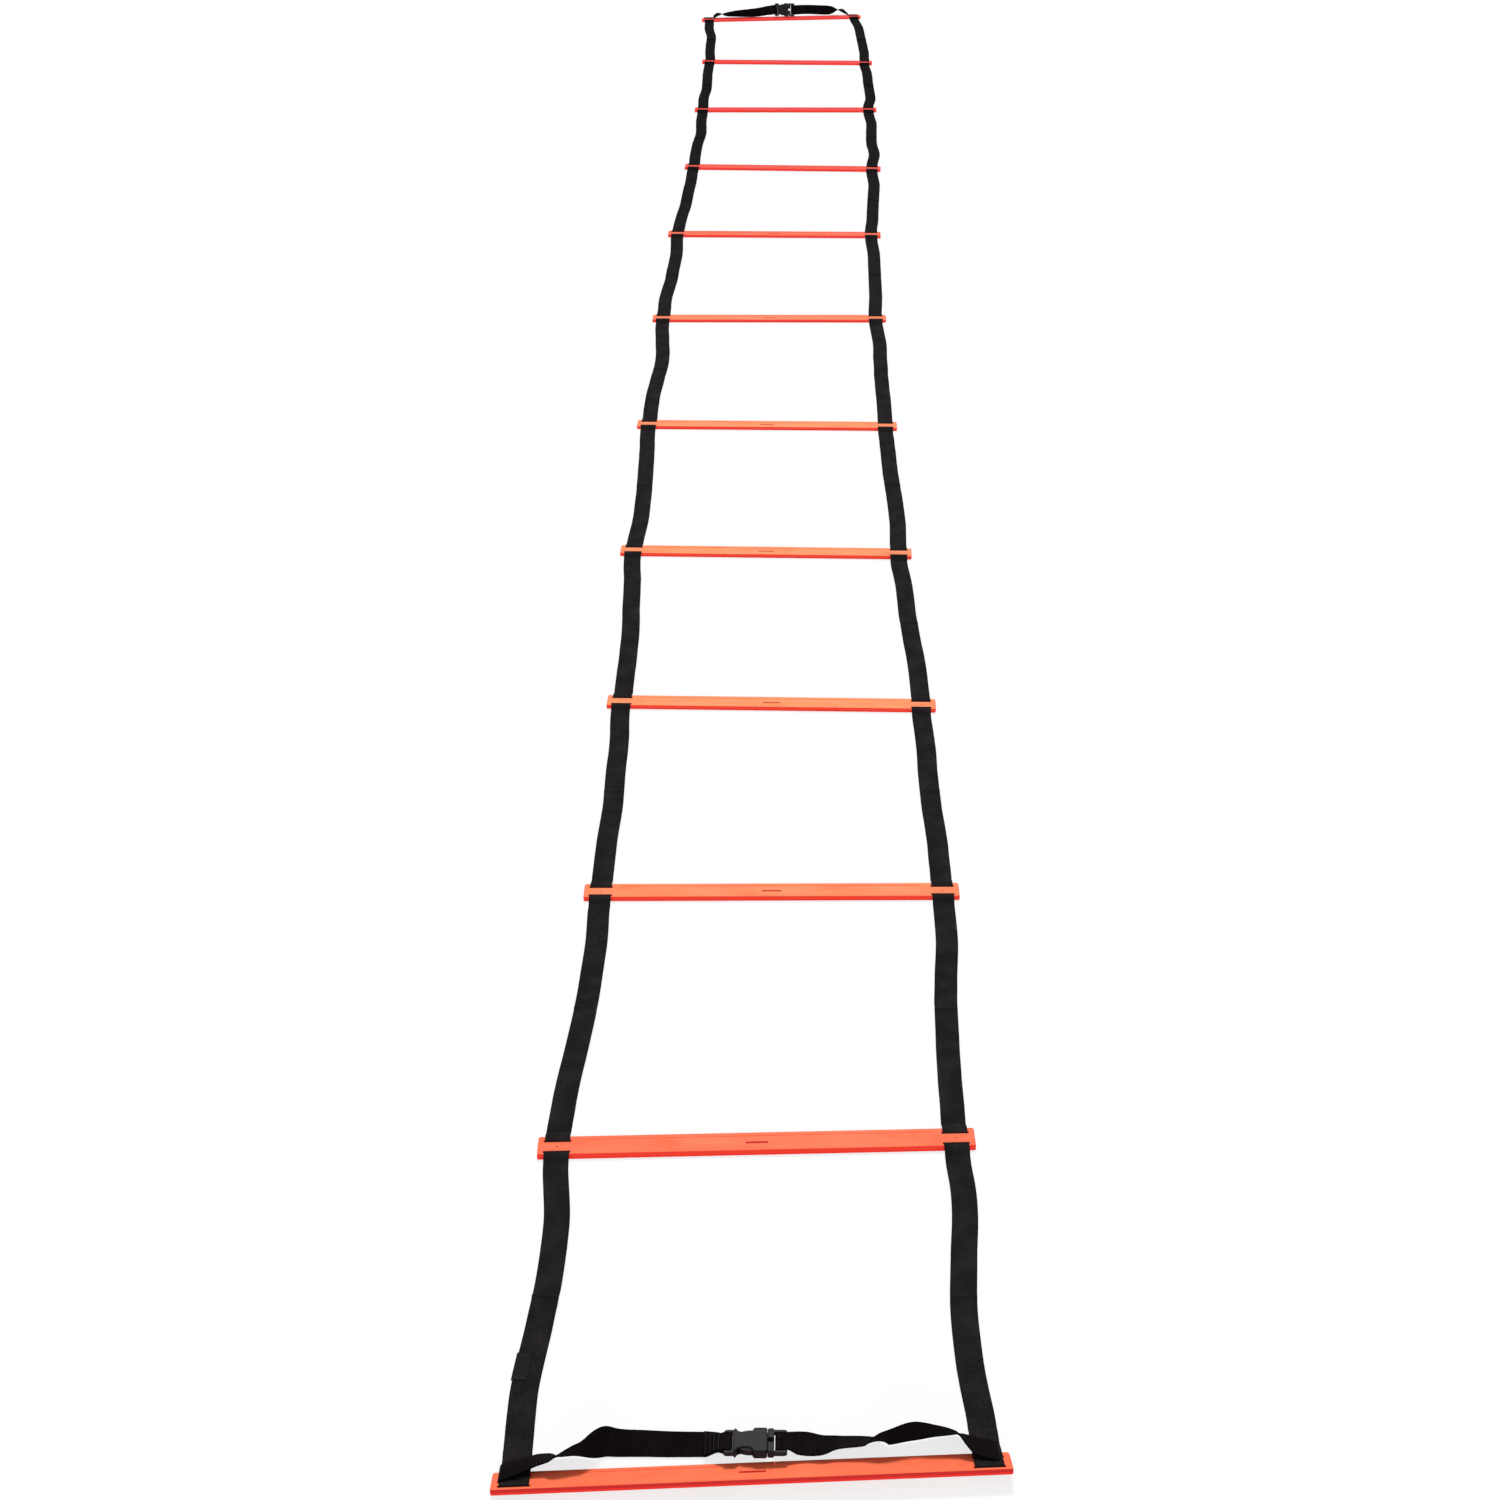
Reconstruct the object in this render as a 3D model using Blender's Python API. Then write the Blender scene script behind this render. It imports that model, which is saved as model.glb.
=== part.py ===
import math

import bmesh
import bpy
from mathutils import Matrix, Vector

# Twelve flat moulded rungs on two webbing rails. Each rail is threaded over a
# rung's edges and under its bridge, and turns behind the first and last rung
# into a closing strap with a side-release buckle.
# X runs along the rungs, Y along the ladder and Z up from the floor.

# Clearances
FIT_GAP = 0.0003
CUT_PAST = 0.002

# Rung plate
RUNG_LENGTH = 0.520
RUNG_WIDTH = 0.033
RUNG_THICK = 0.005
RUNG_CORNER = 0.0035
RUNG_EDGE = 0.0006
NEAR_BEVEL_WIDTH = 0.0042
NEAR_BEVEL_DROP = 0.0022
SLOT_WIDTH = 0.0035
SLOT_PLAY = 0.0014
BRIDGE_WIDTH = 0.014
END_MARGIN = 0.008
PANEL_INSET = 0.0525
PANEL_EDGE = 0.0058
PANEL_DEPTH = 0.0003
MARK_LENGTH = 0.027
MARK_WIDTH = 0.003
MARK_DEPTH = 0.0004
DOT_RADIUS = 0.001
DOT_DEPTH = 0.0012

# Rungs along the ladder: gaps as shares of the pitch, sideways shifts as
# shares of the webbing width, turns in degrees.
RUNG_PITCH = 0.500
GAP_SHARES = (0.921, 0.958, 0.954, 0.990, 1.048, 1.102, 1.060, 0.998, 1.020, 0.962, 1.016)
SHIFT_SHARES = (0.03, -0.07, 0.37, 0.20, -0.27, -0.40, -0.43, -0.20, 0.40, 0.60, 0.70, 0.03)
RUNG_TURNS = (2.7, 1.7, 0.3, -1.3, -1.4, -1.05, -0.2, -0.9, -2.2, -0.1, -1.6, 4.5)
FIRST_TILT = 22.0

# Webbing
WEB_WIDTH = 0.030
WEB_THICK = 0.0016
WEB_BEND = 0.0016
RISE_LENGTH = 0.0115
LAP_LENGTH = 0.016
BEND_STEPS = 3
RISE_STEPS = 4

# Sideways wander of each rail between rungs, at fifths of the bay, as shares
# of the webbing width.
LEFT_SHARES = (
    (-0.03, 0.20, 0.33, 0.30),
    (0.03, 0.17, 0.20, 0.17),
    (0.03, 0.13, 0.10, 0.10),
    (0.10, 0.17, 0.13, 0.10),
    (0.17, 0.20, 0.17, 0.10),
    (0.00, 0.17, 0.33, 0.17),
    (-0.07, 0.10, 0.13, 0.17),
    (0.00, 0.10, 0.07, 0.07),
    (-0.05, 0.03, 0.17, 0.03),
    (-0.08, 0.07, 0.03, -0.03),
    (-0.02, 0.07, 0.17, -0.03),
)
RIGHT_SHARES = (
    (-0.23, -0.27, -0.10, 0.10),
    (-0.07, -0.10, -0.07, 0.07),
    (0.03, -0.03, -0.03, 0.03),
    (0.07, 0.03, 0.00, 0.07),
    (0.12, 0.10, 0.02, 0.02),
    (0.03, 0.02, 0.07, 0.13),
    (0.10, 0.12, 0.13, 0.13),
    (0.10, 0.13, 0.17, 0.20),
    (0.27, 0.10, 0.13, 0.20),
    (0.30, 0.27, 0.20, 0.18),
    (0.17, 0.20, 0.23, 0.23),
)

# Fold lines, halfway between rungs: odd ones close upwards, even ones down.
FOLD_UP = 0.0078
FOLD_DOWN = 0.0025

# Closing straps. Each row is how far it is from the rail to the buckle, then
# its centre beyond the rung and above the floor in shares of the webbing
# width, then the lean of its width from level, in degrees.
NEAR_LEFT_SHARES = (
    (0.000, 0.500, 0.300, 148.0),
    (0.060, 0.610, 0.380, 138.0),
    (0.146, 0.600, 0.460, 126.5),
    (0.240, 0.780, 0.510, 110.0),
    (0.305, 0.860, 0.530, 95.0),
    (0.370, 1.080, 0.480, 62.0),
    (0.430, 1.330, 0.290, 30.0),
    (0.500, 1.390, 0.130, 12.0),
    (0.650, 1.400, 0.080, 6.0),
    (0.830, 1.390, 0.050, 2.0),
    (1.000, 1.390, 0.045, 0.0),
)
NEAR_RIGHT_SHARES = (
    (0.000, 1.554, 0.340, -40.0),
    (0.075, 1.540, 0.453, -57.0),
    (0.200, 1.574, 0.520, -76.0),
    (0.320, 1.547, 0.533, -90.0),
    (0.470, 1.277, 0.520, -77.0),
    (0.515, 1.250, 0.433, -53.5),
    (0.535, 1.294, 0.367, -42.0),
    (0.610, 1.310, 0.317, -34.5),
    (0.700, 1.300, 0.290, -31.0),
    (0.745, 1.290, 0.300, -28.0),
    (0.820, 1.110, 0.415, -17.5),
    (0.910, 1.160, 0.430, -16.0),
)
FAR_LEFT_SHARES = (
    (0.000, 0.120, 0.200, 150.0),
    (0.100, 0.450, 0.480, 160.0),
    (0.240, 0.800, 0.400, 138.0),
    (0.420, 0.800, 0.500, 112.0),
    (0.620, 0.780, 0.530, 92.0),
    (0.800, 0.950, 0.560, 90.0),
    (1.000, 1.340, 0.640, 90.0),
)
FAR_RIGHT_SHARES = (
    (0.000, 1.360, 0.160, 165.0),
    (0.100, 1.960, 0.480, 168.0),
    (0.210, 2.120, 0.610, 165.0),
    (0.360, 2.150, 0.560, 145.0),
    (0.480, 2.080, 0.530, 125.0),
    (0.690, 1.960, 0.560, 104.0),
    (0.860, 1.620, 0.640, 95.0),
)

# Side-release buckle, along its length from the middle of the socket
BUCKLE_WIDTH = 0.040
BUCKLE_THICK = 0.0095
BUCKLE_EDGE = 0.0009
WING_END = 0.029
WING_THICK = 0.0044
WING_BAR = 0.0048
WING_SLOT = 0.0040
SOCKET_BACK = 0.019
SOCKET_MOUTH = 0.015
WAIST_DEPTH = 0.0080
WAIST_BACK = 0.0165
WAIST_FRONT = 0.0008
CAVITY_WIDTH = 0.029
CAVITY_THICK = 0.0062
CAVITY_BACK = 0.0155
BAR_THICK = 0.0024
FRAME_CORNER = 0.0028
BLOCK_LENGTH = 0.0067
BLOCK_THICK = 0.0080
NECK_LENGTH = 0.0030
NECK_WIDTH = 0.0265
GUIDE_OUTER = 0.0062
GUIDE_INNER = 0.0039
GUIDE_REACH = 0.0095
LOCK_SLOT = 0.0035
LOCK_BAR = 0.0030
LOCK_END_BAR = 0.0033
TAIL_PAST = 0.0001
SEWN_LAP = 0.0190
PRONG_THICK = 0.0056
PRONG_ROOT = 0.0103
PRONG_ROOT_WIDTH = 0.0032
PRONG_ARM = 0.0026
CATCH_REACH = 0.0173
NOSE_LENGTH = 0.0142
NEAR_BUCKLE_SHARES = (1.213, 0.367)
NEAR_BUCKLE_LEAN = -19.0
FAR_BUCKLE_SHARES = (1.370, 0.667)
FAR_BUCKLE_LEAN = 90.0
FAR_BUCKLE_SHIFT = 0.0085

# Size label, folded over the left rail's outer edge in the first bay
LABEL_LENGTH = 0.034
LABEL_WIDTH = 0.0155
LABEL_THICK = 0.0007
LABEL_BAY_SHARE = 0.265

RUNG_COLOUR = (0.95, 0.16, 0.05, 1.0)
WEB_COLOUR = (0.018, 0.017, 0.018, 1.0)
BUCKLE_COLOUR = (0.028, 0.026, 0.032, 1.0)
LABEL_COLOUR = (0.030, 0.028, 0.032, 1.0)

RUNG_COUNT = len(RUNG_TURNS)
FLOOR_LEVEL = WEB_THICK / 2
OVER_LEVEL = RUNG_THICK + FIT_GAP + WEB_THICK / 2
LAYER_STEP = WEB_THICK + FIT_GAP
SLOT_CENTRE = (BRIDGE_WIDTH + SLOT_WIDTH) / 2
RAIL_OFFSET = RUNG_LENGTH / 2 - END_MARGIN - WEB_WIDTH / 2
RAIL_REACH = RUNG_WIDTH / 2 + RISE_LENGTH
BAR_LEVEL = BAR_THICK / 2 + FIT_GAP + WEB_THICK / 2

for old in list(bpy.data.objects):
    bpy.data.objects.remove(old)


def material(name, colour, roughness):
    made = bpy.data.materials.new(name)
    made.use_nodes = True
    shader = made.node_tree.nodes["Principled BSDF"]
    shader.inputs["Base Color"].default_value = colour
    shader.inputs["Roughness"].default_value = roughness
    return made


def add_node(name, made, origin, look):
    bmesh.ops.recalc_face_normals(made, faces=made.faces)
    made.transform(Matrix.Translation(-origin))
    mesh = bpy.data.meshes.new(name)
    made.to_mesh(mesh)
    made.free()
    node = bpy.data.objects.new(name, mesh)
    node.location = origin
    colour, roughness = look
    mesh.materials.append(material(name + "_surface", colour, roughness))
    bpy.context.scene.collection.objects.link(node)
    return node


def prism(outline, low, high):
    # An outline in the XY plane drawn up from low to high.
    made = bmesh.new()
    bottom = [made.verts.new((x, y, low)) for x, y in outline]
    top = [made.verts.new((x, y, high)) for x, y in outline]
    made.faces.new(bottom[::-1])
    made.faces.new(top)
    for i in range(len(outline)):
        j = (i + 1) % len(outline)
        made.faces.new((bottom[i], bottom[j], top[j], top[i]))
    bmesh.ops.recalc_face_normals(made, faces=made.faces)
    return made


def box(low, high):
    outline = ((low[0], low[1]), (high[0], low[1]), (high[0], high[1]), (low[0], high[1]))
    return prism(outline, low[2], high[2])


def rounded_outline(half_x, half_y, radius, steps=4):
    outline = []
    for turn, (sx, sy) in enumerate(((1, 1), (-1, 1), (-1, -1), (1, -1))):
        for step in range(steps + 1):
            angle = math.radians(90 * (turn + step / steps))
            outline.append(
                (
                    sx * (half_x - radius) + radius * math.cos(angle),
                    sy * (half_y - radius) + radius * math.sin(angle),
                )
            )
    return outline


def loft(rings):
    made = bmesh.new()
    rows = [[made.verts.new(point) for point in ring] for ring in rings]
    made.faces.new(rows[0][::-1])
    made.faces.new(rows[-1])
    for lower, upper in zip(rows, rows[1:]):
        for i in range(len(lower)):
            j = (i + 1) % len(lower)
            made.faces.new((lower[i], lower[j], upper[j], upper[i]))
    bmesh.ops.recalc_face_normals(made, faces=made.faces)
    return made


def as_object(made, name):
    mesh = bpy.data.meshes.new(name)
    made.to_mesh(mesh)
    made.free()
    helper = bpy.data.objects.new(name, mesh)
    bpy.context.scene.collection.objects.link(helper)
    return helper


def combined(base, steps):
    # The first mesh, then each other one joined to it or cut from it.
    body = as_object(base, "body")
    helpers = [body]
    for number, (operation, made) in enumerate(steps):
        helper = as_object(made, f"tool_{number}")
        helpers.append(helper)
        modifier = body.modifiers.new(f"step_{number}", "BOOLEAN")
        modifier.operation = operation
        modifier.solver = "EXACT"
        modifier.object = helper
    bpy.context.view_layer.update()
    graph = bpy.context.evaluated_depsgraph_get()
    result = bpy.data.meshes.new_from_object(body.evaluated_get(graph))
    for helper in helpers:
        bpy.data.objects.remove(helper)
    made = bmesh.new()
    made.from_mesh(result)
    bpy.data.meshes.remove(result)
    return made


def arc(centre, radius, start, end, steps=BEND_STEPS):
    points = []
    for step in range(steps + 1):
        angle = math.radians(start + (end - start) * step / steps)
        points.append((centre[0] + radius * math.cos(angle), centre[1] + radius * math.sin(angle)))
    return points


def fall(start, end, steps=RISE_STEPS):
    # An even slope between two levels, easing at both ends.
    points = []
    for step in range(steps + 1):
        share = step / steps
        eased = (1 - math.cos(math.pi * share)) / 2
        points.append(
            (start[0] + (end[0] - start[0]) * share, start[1] + (end[1] - start[1]) * eased)
        )
    return points


def half_crossing():
    # Webbing from under the bridge, up through a slot, over the edge strip
    # and down to the floor.
    bend = min(WEB_BEND, (OVER_LEVEL - FLOOR_LEVEL) / 2)
    points = arc((SLOT_CENTRE - bend, FLOOR_LEVEL + bend), bend, -90, 0)
    points += arc((SLOT_CENTRE + bend, OVER_LEVEL - bend), bend, 180, 90)
    return points + fall((RUNG_WIDTH / 2 - RUNG_EDGE, OVER_LEVEL), (RAIL_REACH, FLOOR_LEVEL))


def rung_mesh():
    half_length, half_width = RUNG_LENGTH / 2, RUNG_WIDTH / 2
    profile = (
        (-half_width + RUNG_EDGE, 0),
        (-half_width, RUNG_EDGE),
        (-half_width, RUNG_THICK - NEAR_BEVEL_DROP),
        (-half_width + NEAR_BEVEL_WIDTH, RUNG_THICK),
        (half_width - RUNG_EDGE, RUNG_THICK),
        (half_width, RUNG_THICK - RUNG_EDGE),
        (half_width, RUNG_EDGE),
        (half_width - RUNG_EDGE, 0),
    )
    past = half_length + CUT_PAST
    bar = loft([[(x, y, z) for y, z in profile] for x in (-past, past)])
    rings = []
    for level, inset in (
        (0, RUNG_EDGE),
        (RUNG_EDGE, 0),
        (RUNG_THICK - RUNG_EDGE, 0),
        (RUNG_THICK, RUNG_EDGE),
    ):
        outline = rounded_outline(
            half_length - inset, half_width + CUT_PAST - inset, RUNG_CORNER + CUT_PAST
        )
        rings.append([(x, y, level) for x, y in outline])
    steps = [("INTERSECT", loft(rings))]
    slot_half = WEB_WIDTH / 2 + SLOT_PLAY
    lift = WEB_THICK + FIT_GAP
    for side in (-1, 1):
        middle = side * RAIL_OFFSET
        for edge in (-1, 1):
            near, far = sorted((edge * BRIDGE_WIDTH / 2, edge * (BRIDGE_WIDTH / 2 + SLOT_WIDTH)))
            low = (middle - slot_half, near, -CUT_PAST)
            steps.append(("DIFFERENCE", box(low, (middle + slot_half, far, RUNG_THICK + CUT_PAST))))
        half_bridge = BRIDGE_WIDTH / 2 + SLOT_WIDTH / 2
        low = (middle - slot_half, -half_bridge, -CUT_PAST)
        steps.append(("DIFFERENCE", box(low, (middle + slot_half, half_bridge, lift))))
        dot = prism(
            [(middle + x, y) for x, y in arc((0, 0), DOT_RADIUS, 0, 330, 11)],
            RUNG_THICK - DOT_DEPTH,
            RUNG_THICK + CUT_PAST,
        )
        steps.append(("DIFFERENCE", dot))
    panel_x = half_length - PANEL_INSET
    panel_y = half_width - PANEL_EDGE
    panel = prism(
        rounded_outline(panel_x, panel_y, RUNG_CORNER / 2, 2),
        RUNG_THICK - PANEL_DEPTH,
        RUNG_THICK + CUT_PAST,
    )
    mark = prism(
        rounded_outline(MARK_LENGTH / 2, MARK_WIDTH / 2, MARK_WIDTH / 2 - RUNG_EDGE, 2),
        RUNG_THICK - PANEL_DEPTH - MARK_DEPTH,
        RUNG_THICK + CUT_PAST,
    )
    steps += [("DIFFERENCE", panel), ("DIFFERENCE", mark)]
    return combined(bar, steps)


def rung_frames():
    # Where each rung lies, flat on the floor. Its slots follow its turn.
    frames = []
    along = -sum(GAP_SHARES) / 2
    for shift, turn, gap in zip(SHIFT_SHARES, RUNG_TURNS, GAP_SHARES + (0,)):
        place = Matrix.Translation((shift * WEB_WIDTH, along * RUNG_PITCH, 0))
        frames.append(place @ Matrix.Rotation(math.radians(turn), 4, "Z"))
        along += gap
    return frames


FRAMES = rung_frames()
FAR_EDGE = Matrix.Translation((0, RUNG_WIDTH / 2, 0))
TILT = Matrix.Rotation(math.radians(-FIRST_TILT), 4, "X")
TILTED = FRAMES[0] @ FAR_EDGE @ TILT @ FAR_EDGE.inverted()


def fold_point(bay):
    along = (FRAMES[bay].translation.y + FRAMES[bay + 1].translation.y) / 2
    level = FOLD_UP if bay % 2 == 0 else -FOLD_DOWN
    return Vector((0, along, level))


def swept(stations, profile):
    # Each station is a centre and the way its width points. The profile is
    # in (across, up) about that centre.
    centres = [centre for centre, _ in stations]
    made = bmesh.new()
    rows = []
    for i, (centre, across) in enumerate(stations):
        ahead = centres[min(i + 1, len(centres) - 1)] - centres[max(i - 1, 0)]
        up = across.cross(ahead).normalized()
        rows.append([made.verts.new(centre + across * a + up * b) for a, b in profile])
    made.faces.new(rows[0])
    made.faces.new(rows[-1][::-1])
    for lower, upper in zip(rows, rows[1:]):
        for i in range(len(lower)):
            j = (i + 1) % len(lower)
            made.faces.new((lower[i], lower[j], upper[j], upper[i]))
    return made


def webbing_profile():
    half_width, half_thick = WEB_WIDTH / 2, WEB_THICK / 2
    return (
        (-half_width, -half_thick),
        (half_width, -half_thick),
        (half_width, half_thick),
        (-half_width, half_thick),
    )


def in_frame(frame, side, points):
    across = frame.to_3x3() @ Vector((1, 0, 0))
    return [(frame @ Vector((side * RAIL_OFFSET, y, z)), across) for y, z in points]


def smooth(values, share):
    # A smooth curve through evenly spaced values, for a share from 0 to 1.
    last = len(values) - 1
    place = min(max(share, 0), 1) * last
    i = min(int(place), last - 1)
    t = place - i
    before, start = values[max(i - 1, 0)], values[i]
    end, after = values[i + 1], values[min(i + 2, last)]
    return 0.5 * (
        2 * start
        + (end - before) * t
        + (2 * before - 5 * start + 4 * end - after) * t * t
        + (3 * start - before - 3 * end + after) * t * t * t
    )


def bay_ends(bay, side):
    reach = RAIL_REACH if bay else RAIL_REACH + RISE_LENGTH + LAP_LENGTH
    start = FRAMES[bay] @ Vector((side * RAIL_OFFSET, reach, FLOOR_LEVEL))
    end = FRAMES[bay + 1] @ Vector((side * RAIL_OFFSET, -RAIL_REACH, FLOOR_LEVEL))
    return start, end


def bay_centre(bay, side, share):
    start, end = bay_ends(bay, side)
    wander = (0,) + (LEFT_SHARES if side < 0 else RIGHT_SHARES)[bay] + (0,)
    centre = start.lerp(end, share)
    centre.x += WEB_WIDTH * smooth(wander, share)
    return centre


def bay_stations(bay, side, shares):
    stations = []
    for share in shares:
        centre = bay_centre(bay, side, share)
        step = 0.01
        after = bay_centre(bay, side, min(share + step, 1))
        ahead = after - bay_centre(bay, side, max(share - step, 0))
        stations.append((centre, Vector((ahead.y, -ahead.x, 0)).normalized()))
    return stations


def bay_cut(bay, side, which):
    # The station where the webbing is cut at the fold line, square to it.
    start, end = bay_ends(bay, side)
    along = fold_point(bay).y + which * FIT_GAP / 2
    centre = bay_centre(bay, side, (along - start.y) / (end.y - start.y))
    return centre, Vector((1, 0, 0))


def first_crossing(side):
    # At the first rung the webbing lies over both its own turn and the far
    # edge, goes down the near slot and comes back up through the far one.
    bend = WEB_BEND
    upper = OVER_LEVEL + LAYER_STEP
    edge = RUNG_WIDTH / 2 - RUNG_EDGE
    top = TILT @ Vector((0, edge - RUNG_WIDTH / 2, upper))
    under = TILT @ Vector((0, edge - RUNG_WIDTH / 2, OVER_LEVEL))
    lap = RAIL_REACH + LAP_LENGTH
    flat = [(lap + RISE_LENGTH, FLOOR_LEVEL)]
    flat += fall((lap + RISE_LENGTH / 2, FLOOR_LEVEL), (lap, FLOOR_LEVEL + LAYER_STEP), 2)
    flat += fall(
        (RAIL_REACH + CUT_PAST, FLOOR_LEVEL + LAYER_STEP), (top.y + RUNG_WIDTH / 2, top.z)
    )
    stations = in_frame(FRAMES[0], side, flat)
    over = [(SLOT_CENTRE + WEB_THICK / 2, upper), (SLOT_CENTRE / 2, OVER_LEVEL)]
    over += arc((-SLOT_CENTRE + bend, OVER_LEVEL - bend), bend, 90, 180)
    over += arc((-SLOT_CENTRE + bend, FLOOR_LEVEL + bend), bend, 180, 270)
    over += arc((SLOT_CENTRE - bend, FLOOR_LEVEL + bend), bend, -90, 0)
    over += arc((SLOT_CENTRE + bend, OVER_LEVEL - bend), bend, 180, 90)
    stations += in_frame(TILTED, side, over)
    tail = fall((under.y + RUNG_WIDTH / 2, under.z), (RAIL_REACH, FLOOR_LEVEL))
    tail.append((RAIL_REACH + LAP_LENGTH - CUT_PAST, FLOOR_LEVEL))
    return stations + in_frame(FRAMES[0], side, tail)


def rail(number, side):
    # One rail's webbing through one rung, from fold line to fold line.
    half = half_crossing()
    if number == 0:
        stations = [bay_cut(0, side, -1)] + bay_stations(0, side, (0.4, 0.2))
        stations = stations + first_crossing(side)
        return swept([(centre, -across) for centre, across in stations], webbing_profile())
    stations = [bay_cut(number - 1, side, 1)] + bay_stations(number - 1, side, (0.6, 0.8))
    through = [(-y, z) for y, z in half[::-1]] + half
    stations += in_frame(FRAMES[number], side, through)
    if number < RUNG_COUNT - 1:
        stations += bay_stations(number, side, (0.2, 0.4)) + [bay_cut(number, side, -1)]
    return swept(stations, webbing_profile())


def buckle_frame(end):
    shares, lean = (
        (NEAR_BUCKLE_SHARES, NEAR_BUCKLE_LEAN) if end == 0 else (FAR_BUCKLE_SHARES, FAR_BUCKLE_LEAN)
    )
    base = FRAMES[end].translation
    place = Matrix.Translation(
        (FAR_BUCKLE_SHIFT if end else 0, base.y + shares[0] * WEB_WIDTH, shares[1] * WEB_WIDTH)
    )
    return place @ Matrix.Rotation(math.radians(lean), 4, "X")


def leaning(lean):
    return Vector((0, math.cos(math.radians(lean)), math.sin(math.radians(lean))))


def strap_stations(end, side, table, reach):
    # Table rows from the rail to the buckle, as centres and widths. The first
    # one lies along the rail's edge.
    frame = FRAMES[end]
    base = frame.translation
    turn = math.radians(RUNG_TURNS[end])
    edge = side * (RAIL_OFFSET - WEB_WIDTH / 2 - 2 * FIT_GAP)
    stations = []
    for share, beyond, level, lean in table:
        slide = (beyond * WEB_WIDTH - edge * math.sin(turn)) / math.cos(turn)
        start = frame @ Vector((edge, slide, 0))
        across = leaning(lean)
        if share == 0:
            across.rotate(Matrix.Rotation(turn, 3, "Z"))
        along = start.x + (reach - start.x) * share
        lowest = abs(across.z) * WEB_WIDTH / 2 + abs(across.y) * WEB_THICK / 2 + FIT_GAP / 2
        height = max(level * WEB_WIDTH, lowest)
        centre = Vector((along, base.y + beyond * WEB_WIDTH, height))
        stations.append((centre, across))
    return stations


def lap_stations(start, end, layer, shares):
    # Between a strap station and a buckle station, moved off by some layers.
    stations = []
    for share in shares:
        eased = share * share * (3 - 2 * share)
        centre = start[0].lerp(end[0], share)
        centre.z = start[0].z + (end[0].z - start[0].z) * eased
        across = start[1].lerp(end[1], eased).normalized()
        up = Vector((1, 0, 0)).cross(across)
        stations.append((centre + up * layer * LAYER_STEP, across))
    return stations


def on_buckle(frame, points):
    across = frame.to_3x3() @ Vector((0, 1, 0))
    return [(frame @ Vector((x, 0, z)), across) for x, z in points]


def socket_strap(end):
    # From the rail, under the socket's bar, up its slot, over the bar and
    # back on itself, where it is sewn.
    frame = buckle_frame(end)
    table = FAR_LEFT_SHARES if end else NEAR_LEFT_SHARES
    loop_end = -WING_END - 2 * WEB_THICK
    reach = frame.translation.x + loop_end - SEWN_LAP
    stations = strap_stations(end, -1, table, reach)
    slot = -WING_END + WING_BAR + WING_SLOT / 2
    bend = min(WEB_BEND, BAR_LEVEL)
    last = stations[-1]
    level = LAYER_STEP / 2
    joined = on_buckle(frame, [(loop_end, -level)])[0]
    stations += lap_stations(last, joined, 0, (0.25, 0.5, 0.75, 1))
    around = [(-WING_END, -BAR_LEVEL)]
    around += arc((slot - bend, -BAR_LEVEL + bend), bend, -90, 0)
    around += arc((slot - bend, BAR_LEVEL - bend), bend, 0, 90)
    around.append((-WING_END, BAR_LEVEL))
    stations += on_buckle(frame, around)
    stations += lap_stations(last, joined, 1, (1, 0.75, 0.5, 0.25, 0.1))
    return swept(stations, webbing_profile())


def lock_places():
    # Along the plug: block face, first slot, bar, second slot, end bar, end.
    face = SOCKET_MOUTH + FIT_GAP
    places = [face, face + BLOCK_LENGTH]
    for step in (LOCK_SLOT, LOCK_BAR, LOCK_SLOT, LOCK_END_BAR):
        places.append(places[-1] + step)
    return places


def plug_strap(end):
    # From its loose tail over the lock's bar, down and under it, up again and
    # over the end bar, then on to the rail.
    frame = buckle_frame(end)
    table = FAR_RIGHT_SHARES if end else NEAR_RIGHT_SHARES
    _, block, bar_start, bar_end, end_start, plug_end = lock_places()
    bend = min(WEB_BEND, BAR_LEVEL)
    first = (block + bar_start) / 2
    second = (bar_end + end_start) / 2
    path = [(bar_end - TAIL_PAST, BAR_LEVEL)]
    path += arc((first + bend, BAR_LEVEL - bend), bend, 90, 180)
    path += arc((first + bend, -BAR_LEVEL + bend), bend, 180, 270)
    path += arc((second - bend, -BAR_LEVEL + bend), bend, -90, 0)
    path += arc((second + bend, BAR_LEVEL - bend), bend, 180, 90)
    path.append((plug_end + WEB_THICK, BAR_LEVEL))
    stations = on_buckle(frame, path)
    reach = stations[-1][0].x
    stations += strap_stations(end, 1, table, reach)[::-1]
    return swept(stations, webbing_profile())


def bevelled(made, width, limit=40):
    steepest = math.radians(limit)
    edges = [e for e in made.edges if len(e.link_faces) == 2 and e.calc_face_angle() > steepest]
    bmesh.ops.bevel(made, geom=edges, offset=width, segments=1, affect="EDGES", clamp_overlap=True)
    return made


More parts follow.
